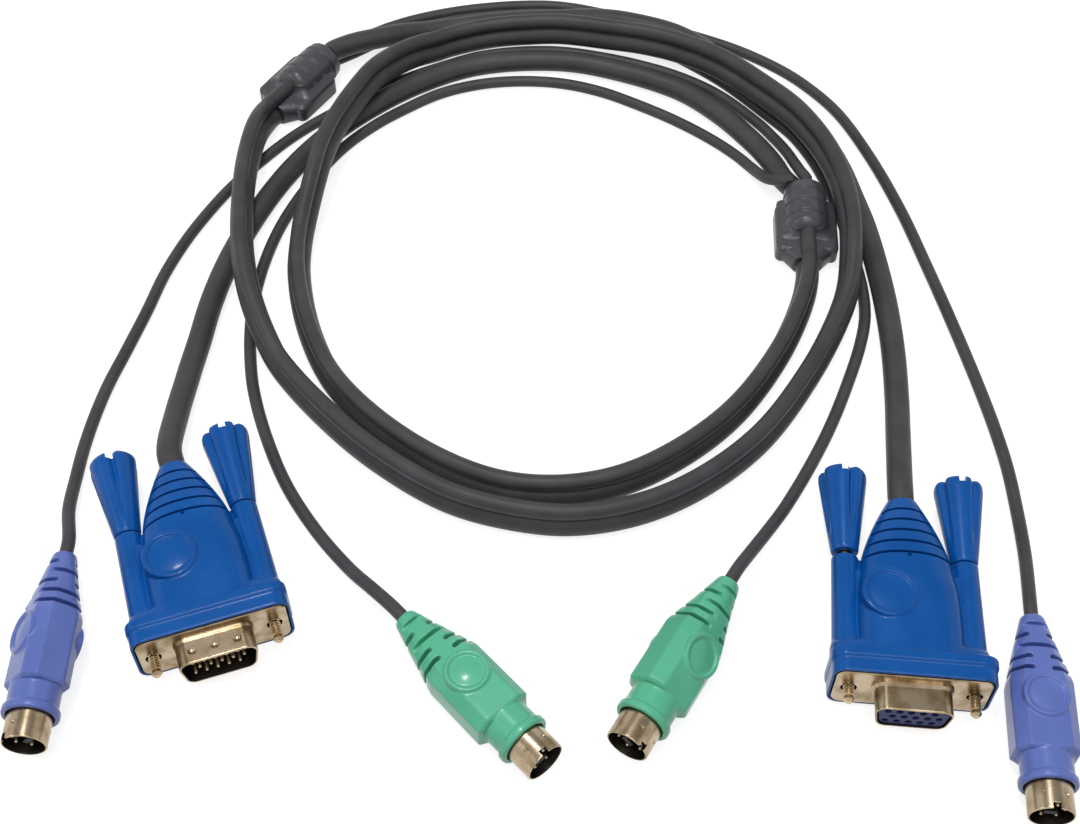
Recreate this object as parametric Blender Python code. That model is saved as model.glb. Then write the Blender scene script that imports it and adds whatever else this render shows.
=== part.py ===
"""Computer cable for a screen, a keyboard and a mouse, laid in a loop of one and a half turns.

A twin-lobed trunk joins two moulded junction blocks. Three cords leave each block: a thick
one to a 15-way video plug with two thumbscrews, and two thin ones to round six-way plugs.
The unit is the metre, +Z is up, and the table that the cable lies on is at z = 0.
"""
import math

import bmesh
import bpy
from mathutils import Matrix, Vector

MM = 0.001

# Driving sizes of the cords
VIDEO_CORD_D = 5.65 * MM
THIN_CORD_D = 2.9 * MM
TRUNK_THIN_LOBE_D = 3.8 * MM
TRUNK_HEIGHT = 9.3 * MM
CORD_LIFT = 0.05 * MM
CORD_LEAD = 1.5 * MM
BLOCK_LEAD = 1.5 * MM
TRUNK_LEAD = 2.5 * MM
VIDEO_PLUG_LEAD = 5.0 * MM
ROUND_PLUG_LEAD = 3.5 * MM
VIDEO_CORD_STEP = 12.0 * MM
THIN_CORD_STEP = 7.8 * MM
TRUNK_STEP = 10.2 * MM

# Gaps that keep neighbouring solids apart
FACE_GAP = 0.3 * MM
FIT_GAP = 0.3 * MM

# Video plug, seen with its mating end forward
SCREW_SPACING = 24.99 * MM
PLATE_END = 2.905 * MM
PLATE_HEIGHT = 12.5 * MM
PLATE_T = 0.8 * MM
PLATE_CORNER_R = 2.0 * MM
PLATE_HOLE_D = 3.7 * MM
SHELL_REACH = 5.9 * MM
SHELL_WALL = 0.5 * MM
SHELL_SLOPE_DEG = 10.0
SHELL_CORNER_R = 2.4 * MM
MALE_SHELL_WIDTH = 17.0 * MM
MALE_SHELL_HEIGHT = 8.4 * MM
FEMALE_SHELL_WIDTH = 16.3 * MM
FEMALE_SHELL_HEIGHT = 7.9 * MM
ROOT_STEP = 0.6 * MM
ROOT_STEP_REACH = 0.9 * MM
CONTACT_PITCH = 2.29 * MM
CONTACT_ROW_PITCH = 1.98 * MM
CONTACTS_IN_ROW = 5
PIN_D = 0.8 * MM
PIN_REACH = 5.0 * MM
SOCKET_D = 1.2 * MM
SOCKET_DEPTH = 3.0 * MM
MALE_INSERT_FACE = 0.9 * MM
FEMALE_INSERT_FACE = 5.6 * MM
INSERT_REAR = 4.1 * MM

# Moulded hood of the video plug
HOOD_LENGTH = 44.5 * MM
COLLAR_WIDTH = 34.0 * MM
COLLAR_HEIGHT = 15.2 * MM
COLLAR_REAR = 5.9 * MM
COLLAR_CORNER_R = 3.0 * MM
RIM_WALL = 0.6 * MM
RIM_LENGTH = 3.0 * MM
RIM_SETBACK = 0.2 * MM
BODY_WIDTH = 21.6 * MM
BODY_HEIGHT = 13.0 * MM
BODY_FRONT = 3.0 * MM
BODY_FLAT_REAR = 14.0 * MM
BODY_REAR = 26.5 * MM
SHOULDER_REAR = 10.5 * MM
SHOULDER_HEIGHT = 10.6 * MM
WEB_REAR = 26.0 * MM
WEB_HEIGHT = 4.6 * MM
NECK_END_D = 6.7 * MM
NECK_CURVE = 1.5
NECK_SLOTS = 5
NECK_SLOT_PITCH = 2.95 * MM
NECK_SLOT_FIRST = 29.4 * MM
NECK_SLOT_WIDTH = 0.7 * MM
NECK_SLOT_DEPTH = 1.1 * MM
NECK_SLOT_BOW = 1.6 * MM
BARREL_D = 5.7 * MM
BARREL_FRONT_D = 6.6 * MM
BARREL_END = 30.0 * MM
BARREL_BORE_D = 3.4 * MM
GATE_MARK_D = 0.9 * MM
HOOD_DISC_D = 11.5 * MM
HOOD_DISC_BACK = 19.0 * MM
HOOD_DISC_SIDE = -4.5 * MM
DISC_EDGE = 0.25 * MM

# Thumbscrew
KNOB_LENGTH = 20.0 * MM
KNOB_END_D = 10.4 * MM
KNOB_LOBES = 4
KNOB_GROOVE_DEPTH = 1.1 * MM
KNOB_SLOT_WIDTH = 1.5 * MM
KNOB_SLOT_DEPTH = 1.6 * MM
SCREW_SHANK_D = 2.4 * MM
SCREW_THREAD_D = 2.8 * MM
SCREW_TIP = 5.5 * MM
SCREW_THREAD_LENGTH = 7.5 * MM
SCREW_IN_KNOB = 12.0 * MM
KNOB_FULL_SHARE = 0.9
SEATED_BACKOUT = 0.0
LOOSE_BACKOUT = 1.0 * MM
MALE_KNOB_TURNS = (38.0, 4.0)
FEMALE_KNOB_TURNS = (26.0, 10.0)

# Round plug, seen with its mating end forward
ROUND_SHELL_D = 9.0 * MM
ROUND_SHELL_WALL = 0.45 * MM
ROUND_SHELL_SEAT = 3.7 * MM
ROUND_NOTCH_WIDTH = 1.5 * MM
ROUND_NOTCH_DEPTH = 1.3 * MM
ROUND_INSERT_DEPTH = 5.0 * MM
ROUND_KEY_WIDTH = 2.4 * MM
ROUND_KEY_HEIGHT = 1.3 * MM
ROUND_PIN_D = 0.9 * MM
ROUND_PIN_SETBACK = 1.2 * MM
LIP_FRONT = 5.8 * MM
LIP_D = 11.6 * MM
LIP_LENGTH = 1.6 * MM
GRIP_COLLAR_D = 10.4 * MM
GRIP_FRONT = 12.0 * MM
GRIP_WIDTH = 12.8 * MM
GRIP_HEIGHT = 10.6 * MM
GRIP_CHAMFER = 2.4 * MM
GRIP_REAR = 27.5 * MM
BOOT_END = 43.2 * MM
BOOT_END_D = 5.2 * MM
BOOT_SPINE = 3.4 * MM
BOOT_SLOT_WIDTH = 0.95 * MM
BOOT_SPLIT_SLOTS = (29.5 * MM, 32.3 * MM, 37.9 * MM)
BOOT_FULL_SLOTS = (35.1 * MM, 40.4 * MM)
ROUND_DISC_D = 9.4 * MM
ROUND_DISC_BACK = 23.2 * MM
ROUND_DISC_PROUD = 0.6 * MM

# Junction block, seen with its trunk end forward
BLOCK_BARREL_D = 11.0 * MM
BLOCK_BACK = 8.1 * MM
BLOCK_BULB_END = 7.6 * MM
BLOCK_GROOVES = (4.6 * MM, 0.8 * MM, -3.2 * MM)
BLOCK_GROOVE_WIDTH = 0.8 * MM
BLOCK_GROOVE_DEPTH = 0.5 * MM
WING_WIDTH = 15.3 * MM
WING_BACK = 3.0 * MM
WING_FRONT = 12.2 * MM
WING_LOW = 0.8 * MM
WING_T = 5.4 * MM
NOSE_FRONT = 14.8 * MM
NOSE_BACK_WIDTH = 12.0 * MM
NOSE_FRONT_WIDTH = 8.0 * MM

# Derived places
TRUNK_THICK_LOBE_D = VIDEO_CORD_D
LOBE_SPACING = TRUNK_HEIGHT - (TRUNK_THICK_LOBE_D + TRUNK_THIN_LOBE_D) / 2
VIDEO_AXIS_Z = COLLAR_HEIGHT / 2
BLOCK_AXIS_Z = BLOCK_BARREL_D / 2
SCREW_SIDE = SCREW_SPACING / 2
PLATE_LENGTH = SCREW_SPACING + 2 * PLATE_END


def clear_scene():
    """Remove every object that the file opened with."""
    for old in list(bpy.data.objects):
        bpy.data.objects.remove(old, do_unlink=True)


def plastic(name, colour, roughness):
    """Return a moulded plastic material."""
    return finish(name, colour, roughness, 0.0)


def finish(name, colour, roughness, metallic):
    """Return a material with one Principled shader."""
    material = bpy.data.materials.new(name)
    material.use_nodes = True
    shader = material.node_tree.nodes["Principled BSDF"]
    shader.inputs["Base Color"].default_value = (*colour, 1.0)
    shader.inputs["Roughness"].default_value = roughness
    shader.inputs["Metallic"].default_value = metallic
    material.diffuse_color = (*colour, 1.0)
    return material


def add_object(name, mesh, material, parent=None, location=(0, 0, 0)):
    """Put a mesh in the scene as one named part."""
    part = bpy.data.objects.new(name, mesh)
    bpy.context.scene.collection.objects.link(part)
    part.location = location
    part.parent = parent
    if material:
        mesh.materials.append(material)
    return part


def add_seat(name, x, y, z, heading, roll=0.0):
    """Return an empty whose +X points along the heading, rolled about it."""
    seat = bpy.data.objects.new(name, None)
    bpy.context.scene.collection.objects.link(seat)
    seat.matrix_world = seat_matrix(x, y, z, heading, roll)
    return seat


def seat_matrix(x, y, z, heading, roll=0.0):
    """Return the placement of a plug or block, with angles in degrees."""
    turn = Matrix.Rotation(math.radians(heading), 4, "Z") @ Matrix.Rotation(math.radians(roll), 4, "X")
    return Matrix.Translation((x, y, z)) @ turn


def mesh_from(bm, name, smooth_angle=35.0):
    """Finish a bmesh with faces pointing out and soft shading on round stretches."""
    bmesh.ops.recalc_face_normals(bm, faces=bm.faces)
    mesh = bpy.data.meshes.new(name)
    bm.to_mesh(mesh)
    bm.free()
    mesh.shade_smooth()
    mesh.set_sharp_from_angle(angle=math.radians(smooth_angle))
    return mesh


def add_loft(bm, rings, closed=False):
    """Skin rings of equal count, with end caps, or round on itself when closed."""
    rows = [[bm.verts.new(point) for point in ring] for ring in rings]
    count = len(rows[0])
    pairs = list(zip(rows, rows[1:]))
    if closed:
        pairs.append((rows[-1], rows[0]))
    for first, second in pairs:
        for i in range(count):
            j = (i + 1) % count
            bm.faces.new((first[i], first[j], second[j], second[i]))
    if not closed:
        bm.faces.new(rows[0])
        bm.faces.new(rows[-1])


def loft(name, rings, closed=False):
    """Return a mesh skinned over rings."""
    bm = bmesh.new()
    add_loft(bm, rings, closed)
    return mesh_from(bm, name)


def across(x, outline):
    """Stand a side-and-height outline across the X axis."""
    return [Vector((x, side, height)) for side, height in outline]


def flat(z, outline):
    """Lay an outline flat at a height."""
    return [Vector((x, y, z)) for x, y in outline]


def circle(radius, segments, centre=(0.0, 0.0)):
    """Return points round a circle."""
    points = []
    for i in range(segments):
        angle = 2 * math.pi * (i + 0.5) / segments
        points.append((centre[0] + radius * math.cos(angle), centre[1] + radius * math.sin(angle)))
    return points


def turned(name, profile, segments, closed=False):
    """Turn a profile of (along, radius) points about the X axis."""
    return loft(name, [across(along, circle(radius, segments)) for along, radius in profile], closed)


def round_corners(corners, radius, steps):
    """Round each corner of a convex outline with an arc of the given radius."""
    points = []
    for i, corner in enumerate(corners):
        here = Vector(corner)
        back = (Vector(corners[i - 1]) - here).normalized()
        ahead = (Vector(corners[(i + 1) % len(corners)]) - here).normalized()
        half = back.angle(ahead) / 2
        reach = radius / math.tan(half)
        centre = here + (back + ahead).normalized() * radius / math.sin(half)
        start = here + back * reach - centre
        end = here + ahead * reach - centre
        sweep = start.angle_signed(end)
        for k in range(steps + 1):
            point = centre + Matrix.Rotation(-sweep * k / steps, 2) @ start
            points.append((point.x, point.y))
    return points


def rounded_rectangle(width, height, radius, steps=3):
    """Return a rounded rectangle about the origin."""
    w = width / 2
    h = height / 2
    return round_corners([(-w, -h), (w, -h), (w, h), (-w, h)], radius, steps)


def tapered_outline(width, height, grow=0.0, steps=3):
    """Return the video shell's outline: wide side up, sloping ends, round corners."""
    top = width / 2 + grow
    h = height / 2 + grow
    bottom = top - (height + 2 * grow) * math.tan(math.radians(SHELL_SLOPE_DEG))
    radius = SHELL_CORNER_R + grow
    return round_corners([(-bottom, -h), (bottom, -h), (top, h), (-top, h)], radius, steps)


def oval(width, height, power, segments):
    """Return a superellipse, which is squarer as its power grows."""
    points = []
    for i in range(segments):
        angle = 2 * math.pi * (i + 0.5) / segments
        c = math.cos(angle)
        s = math.sin(angle)
        side = math.copysign(abs(c) ** (2 / power), c) * width / 2
        height_here = math.copysign(abs(s) ** (2 / power), s) * height / 2
        points.append((side, height_here))
    return points


def mix(a, b, share):
    """Return the value a share of the way from a to b."""
    return a + (b - a) * share


def cutter(name, mesh, parent, location=(0, 0, 0)):
    """Return a guide solid that only shapes its neighbours."""
    guide = add_object(name, mesh, None, parent, location)
    guide.hide_render = True
    guide.display_type = "WIRE"
    return guide


def combine(part, guide, operation):
    """Add or cut a guide solid with an exact Boolean."""
    modifier = part.modifiers.new(guide.name, "BOOLEAN")
    modifier.operation = operation
    modifier.object = guide
    modifier.solver = "EXACT"


def box_mesh(name, low, high):
    """Return a box between two corners."""
    bm = bmesh.new()
    add_box(bm, low, high)
    return mesh_from(bm, name)


def add_box(bm, low, high):
    """Add a box between two corners."""
    outline = [(low[0], low[1]), (high[0], low[1]), (high[0], high[1]), (low[0], high[1])]
    add_loft(bm, [flat(low[2], outline), flat(high[2], outline)])


def disc_mesh(name, diameter, base, top, segments=24):
    """Return a round button: a raised ring with a shallow dome inside it."""
    ring_in = diameter * 0.41
    edge = DISC_EDGE
    sink = 0.45 * MM
    dome_rise = 0.4 * MM
    dome_start = ring_in - 0.35 * MM
    profile = [
        (base, diameter / 2),
        (top - edge, diameter / 2),
        (top, diameter / 2 - edge),
        (top, ring_in),
        (top - sink, dome_start),
    ]
    for share in (0.4, 0.75):
        rise = dome_rise * (1 - (1 - share) ** 2)
        profile.append((top - sink + rise, dome_start * (1 - share)))
    rings = []
    for height, radius in profile:
        rings.append(flat(height, circle(radius, segments)))
    return loft(name, rings)


# Video plug


def neck_size(back, front_size):
    """Return the neck's width or height a given way behind the plate's face."""
    share = max((back - BODY_REAR) / (HOOD_LENGTH - BODY_REAR), 0.0)
    return mix(front_size, NECK_END_D, share ** NECK_CURVE)


def neck_width(back):
    """Return the neck's width a given way behind the plate's face."""
    return neck_size(back, BODY_WIDTH * 0.9)


def neck_height(back):
    """Return the neck's height a given way behind the plate's face."""
    return neck_size(back, BODY_HEIGHT * 0.92)


def hood_neck_rings():
    """Return the rings of the hood's body and its rounding neck, from front to rear."""
    segments = 22
    rings = []
    for back in (BODY_FRONT, BODY_FLAT_REAR):
        rings.append(across(-back, oval(BODY_WIDTH, BODY_HEIGHT, 3.4, segments)))
    taper_steps = 6
    for k in range(taper_steps + 1):
        share = k / taper_steps
        back = mix(BODY_REAR, HOOD_LENGTH, share)
        power = mix(3.0, 2.1, share)
        rings.append(across(-back, oval(neck_width(back), neck_height(back), power, segments)))
    return rings


def neck_slots_mesh(name):
    """Return the bowed slots that ring the neck, above and below."""
    bm = bmesh.new()
    steps = 4
    for i in range(NECK_SLOTS):
        back = NECK_SLOT_FIRST + i * NECK_SLOT_PITCH
        half = neck_width(back) / 2 - 0.5 * MM
        floor = neck_height(back) / 2 - NECK_SLOT_DEPTH
        for up in (1, -1):
            rings = []
            for k in range(steps + 1):
                side = mix(-half, half, k / steps)
                bow = NECK_SLOT_BOW * (side / half) ** 2 * (half / neck_width(NECK_SLOT_FIRST) * 2)
                x = -back + bow * 0.6
                edge_drop = 1.4 * MM * (side / half) ** 4
                low = up * (floor - edge_drop)
                high = up * (BODY_HEIGHT / 2 + 2 * MM)
                half_slot = NECK_SLOT_WIDTH / 2
                rings.append([
                    Vector((x - half_slot, side, low)), Vector((x + half_slot, side, low)),
                    Vector((x + half_slot, side, high)), Vector((x - half_slot, side, high)),
                ])
            add_loft(bm, rings)
    return mesh_from(bm, name)


def collar_mesh(name):
    """Return the collar round the plate: a wide band, a step and a thinner rim."""
    rim_width = PLATE_LENGTH + 2 * (FIT_GAP + RIM_WALL)
    rim_height = PLATE_HEIGHT + 2 * (FIT_GAP + RIM_WALL)
    round_in = 0.5 * MM
    rings = []
    for back, width, height in (
        (COLLAR_REAR, COLLAR_WIDTH - 2 * round_in, COLLAR_HEIGHT - 2 * round_in),
        (COLLAR_REAR - round_in, COLLAR_WIDTH, COLLAR_HEIGHT),
        (RIM_LENGTH + round_in + RIM_SETBACK, COLLAR_WIDTH, COLLAR_HEIGHT),
        (RIM_LENGTH + RIM_SETBACK, rim_width, rim_height),
        (RIM_SETBACK, rim_width, rim_height),
    ):
        rings.append(across(-back, rounded_rectangle(width, height, COLLAR_CORNER_R)))
    return loft(name, rings)


def make_hood(name, seat, material):
    """Make a video plug's moulded hood with its barrels, slots, button and pockets."""
    hood = add_object(name, collar_mesh(name), material, seat)
    body = cutter(name + "_body", loft(name + "_body", hood_neck_rings()), seat)
    combine(hood, body, "UNION")
    shoulder_width = 2 * SCREW_SIDE + BARREL_FRONT_D + 0.3 * MM
    shoulder = cutter(name + "_shoulder", loft(name + "_shoulder", [
        across(-SHOULDER_REAR, oval(shoulder_width, BARREL_FRONT_D - 0.4 * MM, 4.0, 28)),
        across(-mix(COLLAR_REAR, SHOULDER_REAR, 0.55), oval(shoulder_width, SHOULDER_HEIGHT, 3.2, 28)),
        across(-COLLAR_REAR / 2, oval(shoulder_width, SHOULDER_HEIGHT, 3.2, 28))]), seat)
    combine(hood, shoulder, "UNION")
    web = cutter(name + "_web", box_mesh(name + "_web", (-WEB_REAR, -SCREW_SIDE, -WEB_HEIGHT / 2),
                 (-COLLAR_REAR / 2, SCREW_SIDE, WEB_HEIGHT / 2)), seat)
    combine(hood, web, "UNION")
    for side in (-1, 1):
        barrel = cutter(name + "_barrel" + str(side), turned(name + "_barrel", [
            (-BARREL_END, BARREL_D / 2), (-COLLAR_REAR / 2, BARREL_FRONT_D / 2)], 16),
            seat, (0, side * SCREW_SIDE, 0))
        combine(hood, barrel, "UNION")
    button = cutter(name + "_button", disc_mesh(name + "_button", HOOD_DISC_D, 1.5 * MM,
                    BODY_HEIGHT / 2 + 0.55 * MM), seat, (-HOOD_DISC_BACK, HOOD_DISC_SIDE, 0))
    combine(hood, button, "UNION")
    slots = cutter(name + "_slots", neck_slots_mesh(name + "_slots"), seat)
    combine(hood, slots, "DIFFERENCE")
    gate = cutter(name + "_gate", loft(name + "_gate", [
        flat(BODY_HEIGHT / 2 - 1.3 * MM, circle(GATE_MARK_D / 2, 8)),
        flat(BODY_HEIGHT, circle(GATE_MARK_D / 2, 8))]), seat, (-NECK_SLOT_FIRST + 0.8 * MM, 0, 0))
    combine(hood, gate, "DIFFERENCE")
    for side in (-1, 1):
        bore = cutter(name + "_bore" + str(side), turned(name + "_bore", [
            (-BARREL_END - 2 * MM, BARREL_BORE_D / 2), (2 * MM, BARREL_BORE_D / 2)], 12),
            seat, (0, side * SCREW_SIDE, 0))
        combine(hood, bore, "DIFFERENCE")
    seat_outline = rounded_rectangle(PLATE_LENGTH + 2 * FIT_GAP, PLATE_HEIGHT + 2 * FIT_GAP,
                                     PLATE_CORNER_R + FIT_GAP)
    pocket = cutter(name + "_pocket", loft(name + "_pocket", [
        across(-PLATE_T - FIT_GAP, seat_outline), across(2 * MM, seat_outline)]), seat)
    combine(hood, pocket, "DIFFERENCE")
    return hood


def cut_insert_pocket(hood, name, seat, width, height):
    """Cut the pocket in the hood that the contact block's rear sits in."""
    outline = tapered_outline(width, height, FIT_GAP - SHELL_WALL - FIT_GAP)
    pocket = cutter(name, loft(name, [
        across(-INSERT_REAR - FIT_GAP, outline), across(0.0, outline)]), seat)
    combine(hood, pocket, "DIFFERENCE")


def make_shell(name, seat, material, width, height, stepped):
    """Make the drawn metal front: flange plate, screw holes and shell in one piece."""
    outline = rounded_rectangle(PLATE_LENGTH, PLATE_HEIGHT, PLATE_CORNER_R)
    shell = add_object(name, loft(name, [across(-PLATE_T, outline), across(0.0, outline)]), material, seat)
    step = ROOT_STEP if stepped else 0.3 * MM
    nose_round = 0.25 * MM
    reach = cutter(name + "_reach", loft(name + "_reach", [
        across(-PLATE_T / 2, tapered_outline(width, height, step)),
        across(ROOT_STEP_REACH * 0.6, tapered_outline(width, height, step)),
        across(ROOT_STEP_REACH, tapered_outline(width, height)),
        across(SHELL_REACH - nose_round, tapered_outline(width, height)),
        across(SHELL_REACH, tapered_outline(width, height, -nose_round))]), seat)
    combine(shell, reach, "UNION")
    inside = tapered_outline(width, height, -SHELL_WALL)
    opening = cutter(name + "_opening", loft(name + "_opening", [
        across(-2 * MM, inside), across(SHELL_REACH + 2 * MM, inside)]), seat)
    combine(shell, opening, "DIFFERENCE")
    for side in (-1, 1):
        hole = cutter(name + "_hole" + str(side), turned(name + "_hole", [
            (-2 * MM, PLATE_HOLE_D / 2), (2 * MM, PLATE_HOLE_D / 2)], 16), seat, (0, side * SCREW_SIDE, 0))
        combine(shell, hole, "DIFFERENCE")
    return shell


def contact_places():
    """Return the fifteen contacts' side and height, in three rows of five."""
    places = []
    for row in (-1, 0, 1):
        shift = CONTACT_PITCH / 4 * (1 if row == 0 else -1)
        for k in range(CONTACTS_IN_ROW):
            side = (k - (CONTACTS_IN_ROW - 1) / 2) * CONTACT_PITCH + shift
            places.append((side, row * CONTACT_ROW_PITCH))
    return places


def contacts_mesh(name, diameter, start, end, segments):
    """Return fifteen short rods, the pins of one plug or the holes of the other."""
    bm = bmesh.new()
    for place in contact_places():
        outline = circle(diameter / 2, segments, place)
        add_loft(bm, [across(start, outline), across(end, outline)])
    return mesh_from(bm, name)


def make_insert(name, seat, material, width, height, face):
    """Make the plastic block that holds the contacts inside a video shell."""
    outline = tapered_outline(width, height, -SHELL_WALL - FIT_GAP)
    mesh = loft(name, [across(-INSERT_REAR, outline), across(face, outline)])
    return add_object(name, mesh, material, seat)


def knob_mesh(name, turn, segments=32):
    """Return a thumbscrew's grip: a flared cone with broad lobes and fading grooves."""
    stations = ((0.0, 0.0), (0.12, 0.0), (0.36, 0.4), (0.72, 1.0), (KNOB_FULL_SHARE, 1.0),
                (0.96, 1.0), (1.0, 0.9))
    rings = []
    for share, groove in stations:
        radius = mix(BARREL_D / 2, KNOB_END_D / 2, min(share / KNOB_FULL_SHARE, 1.0))
        if share == 1.0:
            radius -= 0.5 * MM
        outline = []
        for i in range(segments):
            angle = 2 * math.pi * (i + 0.5) / segments
            dip = max(0.0, -math.cos(KNOB_LOBES * angle)) ** 3
            r = radius - KNOB_GROOVE_DEPTH * groove * dip
            outline.append((r * math.cos(angle + turn), r * math.sin(angle + turn)))
        rings.append(across(-share * KNOB_LENGTH, outline))
    return loft(name, rings)


def make_thumbscrew(plug, side_name, side, seat, backout, turn, knob_material, screw_material):
    """Make a moulded knob and its long screw, both turning about the screw's axis."""
    joint = (-BARREL_END - FACE_GAP - backout, side * SCREW_SIDE, 0.0)
    knob_name = plug + "_knob_" + side_name
    knob = add_object(knob_name, knob_mesh(knob_name, math.radians(turn)), knob_material, seat, joint)
    half_slot = KNOB_SLOT_WIDTH / 2
    slot = cutter(knob_name + "_slot", box_mesh(knob_name + "_slot",
                  (-KNOB_LENGTH - MM, -half_slot, -KNOB_END_D),
                  (-KNOB_LENGTH + KNOB_SLOT_DEPTH, half_slot, KNOB_END_D)), seat, joint)
    combine(knob, slot, "DIFFERENCE")
    bore = cutter(knob_name + "_bore", turned(knob_name + "_bore", [
        (-SCREW_IN_KNOB - FIT_GAP, SCREW_SHANK_D / 2 + FIT_GAP),
        (MM, SCREW_SHANK_D / 2 + FIT_GAP)], 12), seat, joint)
    combine(knob, bore, "DIFFERENCE")
    tip = BARREL_END + FACE_GAP + SCREW_TIP
    screw_name = plug + "_screw_" + side_name
    screw = add_object(screw_name, turned(screw_name, [
        (-SCREW_IN_KNOB, SCREW_SHANK_D / 2),
        (tip - SCREW_THREAD_LENGTH - 0.4 * MM, SCREW_SHANK_D / 2),
        (tip - SCREW_THREAD_LENGTH, SCREW_THREAD_D / 2),
        (tip - 0.6 * MM, SCREW_THREAD_D / 2),
        (tip, SCREW_THREAD_D / 2 - 0.6 * MM)], 12), screw_material, seat, joint)
    return knob, screw


def make_video_plug(plug, place, materials, size, male, backouts, turns):
    """Make a whole video plug on its seat."""
    seat = add_seat(plug + "_seat", *place)
    width, height = size
    hood = make_hood(plug + "_hood", seat, materials["hood"])
    cut_insert_pocket(hood, plug + "_insert_pocket", seat, width, height)
    make_shell(plug + "_shell", seat, materials["nickel"], width, height, not male)
    face = MALE_INSERT_FACE if male else FEMALE_INSERT_FACE
    block_material = materials["black" if male else "dark_blue"]
    insert = make_insert(plug + "_insert", seat, block_material, width, height, face)
    if male:
        pins = cutter(plug + "_pins", contacts_mesh(plug + "_pins", PIN_D, face - MM, PIN_REACH, 6), seat)
        combine(insert, pins, "UNION")
    else:
        holes = cutter(plug + "_sockets", contacts_mesh(plug + "_sockets", SOCKET_D, face - SOCKET_DEPTH,
                       face + MM, 6), seat)
        combine(insert, holes, "DIFFERENCE")
    sides = (("left", -1), ("right", 1))
    for (side_name, side), backout, turn in zip(sides, backouts, turns):
        make_thumbscrew(plug, side_name, side, seat, backout, turn, materials["hood"], materials["brass"])


# Round plug


def facet_ring(width, height, chamfer, roundness):
    """Return a chamfered rectangle with eased corners, blended towards an oval by its roundness."""
    w = width / 2
    h = height / 2
    ease = 0.35 * MM
    cut = chamfer
    corners = [
        (w, h - cut, 0, -1, -1, 1), (w - cut, h, 1, -1, -1, 0),
        (cut - w, h, 1, 0, -1, -1), (-w, h - cut, 1, 1, 0, -1),
    ]
    points = []
    for x, y, in_x, in_y, out_x, out_y in corners:
        points.append((x + in_x * ease, y + in_y * ease))
        points.append((x + out_x * ease, y + out_y * ease))
    points += [(-x, -y) for x, y in points]
    blended = []
    for i, (x, y) in enumerate(points):
        angle = 2 * math.pi * (i + 0.5) / len(points)
        blended.append((mix(x, w * math.cos(angle), roundness), mix(y, h * math.sin(angle), roundness)))
    return blended


def grip_mesh(name):
    """Return the round plug's faceted grip running into its tapering boot."""
    edge = 0.6 * MM
    rings = [
        across(-GRIP_FRONT, facet_ring(GRIP_WIDTH - 2 * edge, GRIP_HEIGHT - 2 * edge, GRIP_CHAMFER, 0.0)),
        across(-GRIP_FRONT - edge, facet_ring(GRIP_WIDTH, GRIP_HEIGHT, GRIP_CHAMFER, 0.0)),
        across(-GRIP_REAR, facet_ring(GRIP_WIDTH, GRIP_HEIGHT, GRIP_CHAMFER, 0.1)),
    ]
    steps = 5
    for k in range(1, steps + 1):
        share = k / steps
        width = mix(GRIP_WIDTH, BOOT_END_D, share ** 1.1)
        height = mix(GRIP_HEIGHT, BOOT_END_D, share ** 1.1)
        back = mix(GRIP_REAR, BOOT_END - edge, share)
        chamfer = mix(GRIP_CHAMFER, 0.0, share)
        rings.append(across(-back, facet_ring(width, height, chamfer, mix(0.1, 1.0, share))))
    rings.append(across(-BOOT_END, facet_ring(BOOT_END_D - edge, BOOT_END_D - edge, 0.0, 1.0)))
    return loft(name, rings)


def boot_slots_mesh(name):
    """Return the staggered slots of the boot: across the faces, then in from the sides."""
    bm = bmesh.new()
    far = GRIP_WIDTH
    half_spine = BOOT_SPINE / 2
    for back in BOOT_SPLIT_SLOTS:
        front = -back + BOOT_SLOT_WIDTH / 2
        rear = -back - BOOT_SLOT_WIDTH / 2
        add_box(bm, (rear, half_spine, -far), (front, far, far))
        add_box(bm, (rear, -far, -far), (front, -half_spine, far))
    for back in BOOT_FULL_SLOTS:
        front = -back + BOOT_SLOT_WIDTH / 2
        rear = -back - BOOT_SLOT_WIDTH / 2
        add_box(bm, (rear, -far, half_spine), (front, far, far))
        add_box(bm, (rear, -far, -far), (front, far, -half_spine))
    return mesh_from(bm, name)


def make_grip(name, seat, material):
    """Make the round plug's overmould with its lip, buttons, slots and bore."""
    grip = add_object(name, grip_mesh(name), material, seat)
    edge = 0.35 * MM
    front = cutter(name + "_collar", turned(name + "_collar", [
        (-GRIP_FRONT - 2 * MM, GRIP_COLLAR_D / 2), (-LIP_FRONT - LIP_LENGTH - edge, GRIP_COLLAR_D / 2),
        (-LIP_FRONT - LIP_LENGTH, LIP_D / 2), (-LIP_FRONT - edge, LIP_D / 2),
        (-LIP_FRONT, LIP_D / 2 - edge)], 20), seat)
    combine(grip, front, "UNION")
    for up in (1, -1):
        mesh = disc_mesh(name + "_button", ROUND_DISC_D, 2 * MM, GRIP_HEIGHT / 2 + ROUND_DISC_PROUD, 16)
        button = cutter(name + "_button" + str(up), mesh, seat, (-ROUND_DISC_BACK, 0, 0))
        button.rotation_euler.x = 0.0 if up == 1 else math.pi
        combine(grip, button, "UNION")
    slots = cutter(name + "_slots", boot_slots_mesh(name + "_slots"), seat)
    combine(grip, slots, "DIFFERENCE")
    bore_r = ROUND_SHELL_D / 2 + FIT_GAP
    bore = cutter(name + "_bore", turned(name + "_bore", [
        (-LIP_FRONT - ROUND_SHELL_SEAT - FIT_GAP, bore_r), (0.0, bore_r)], 20), seat)
    combine(grip, bore, "DIFFERENCE")
    return grip


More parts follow.
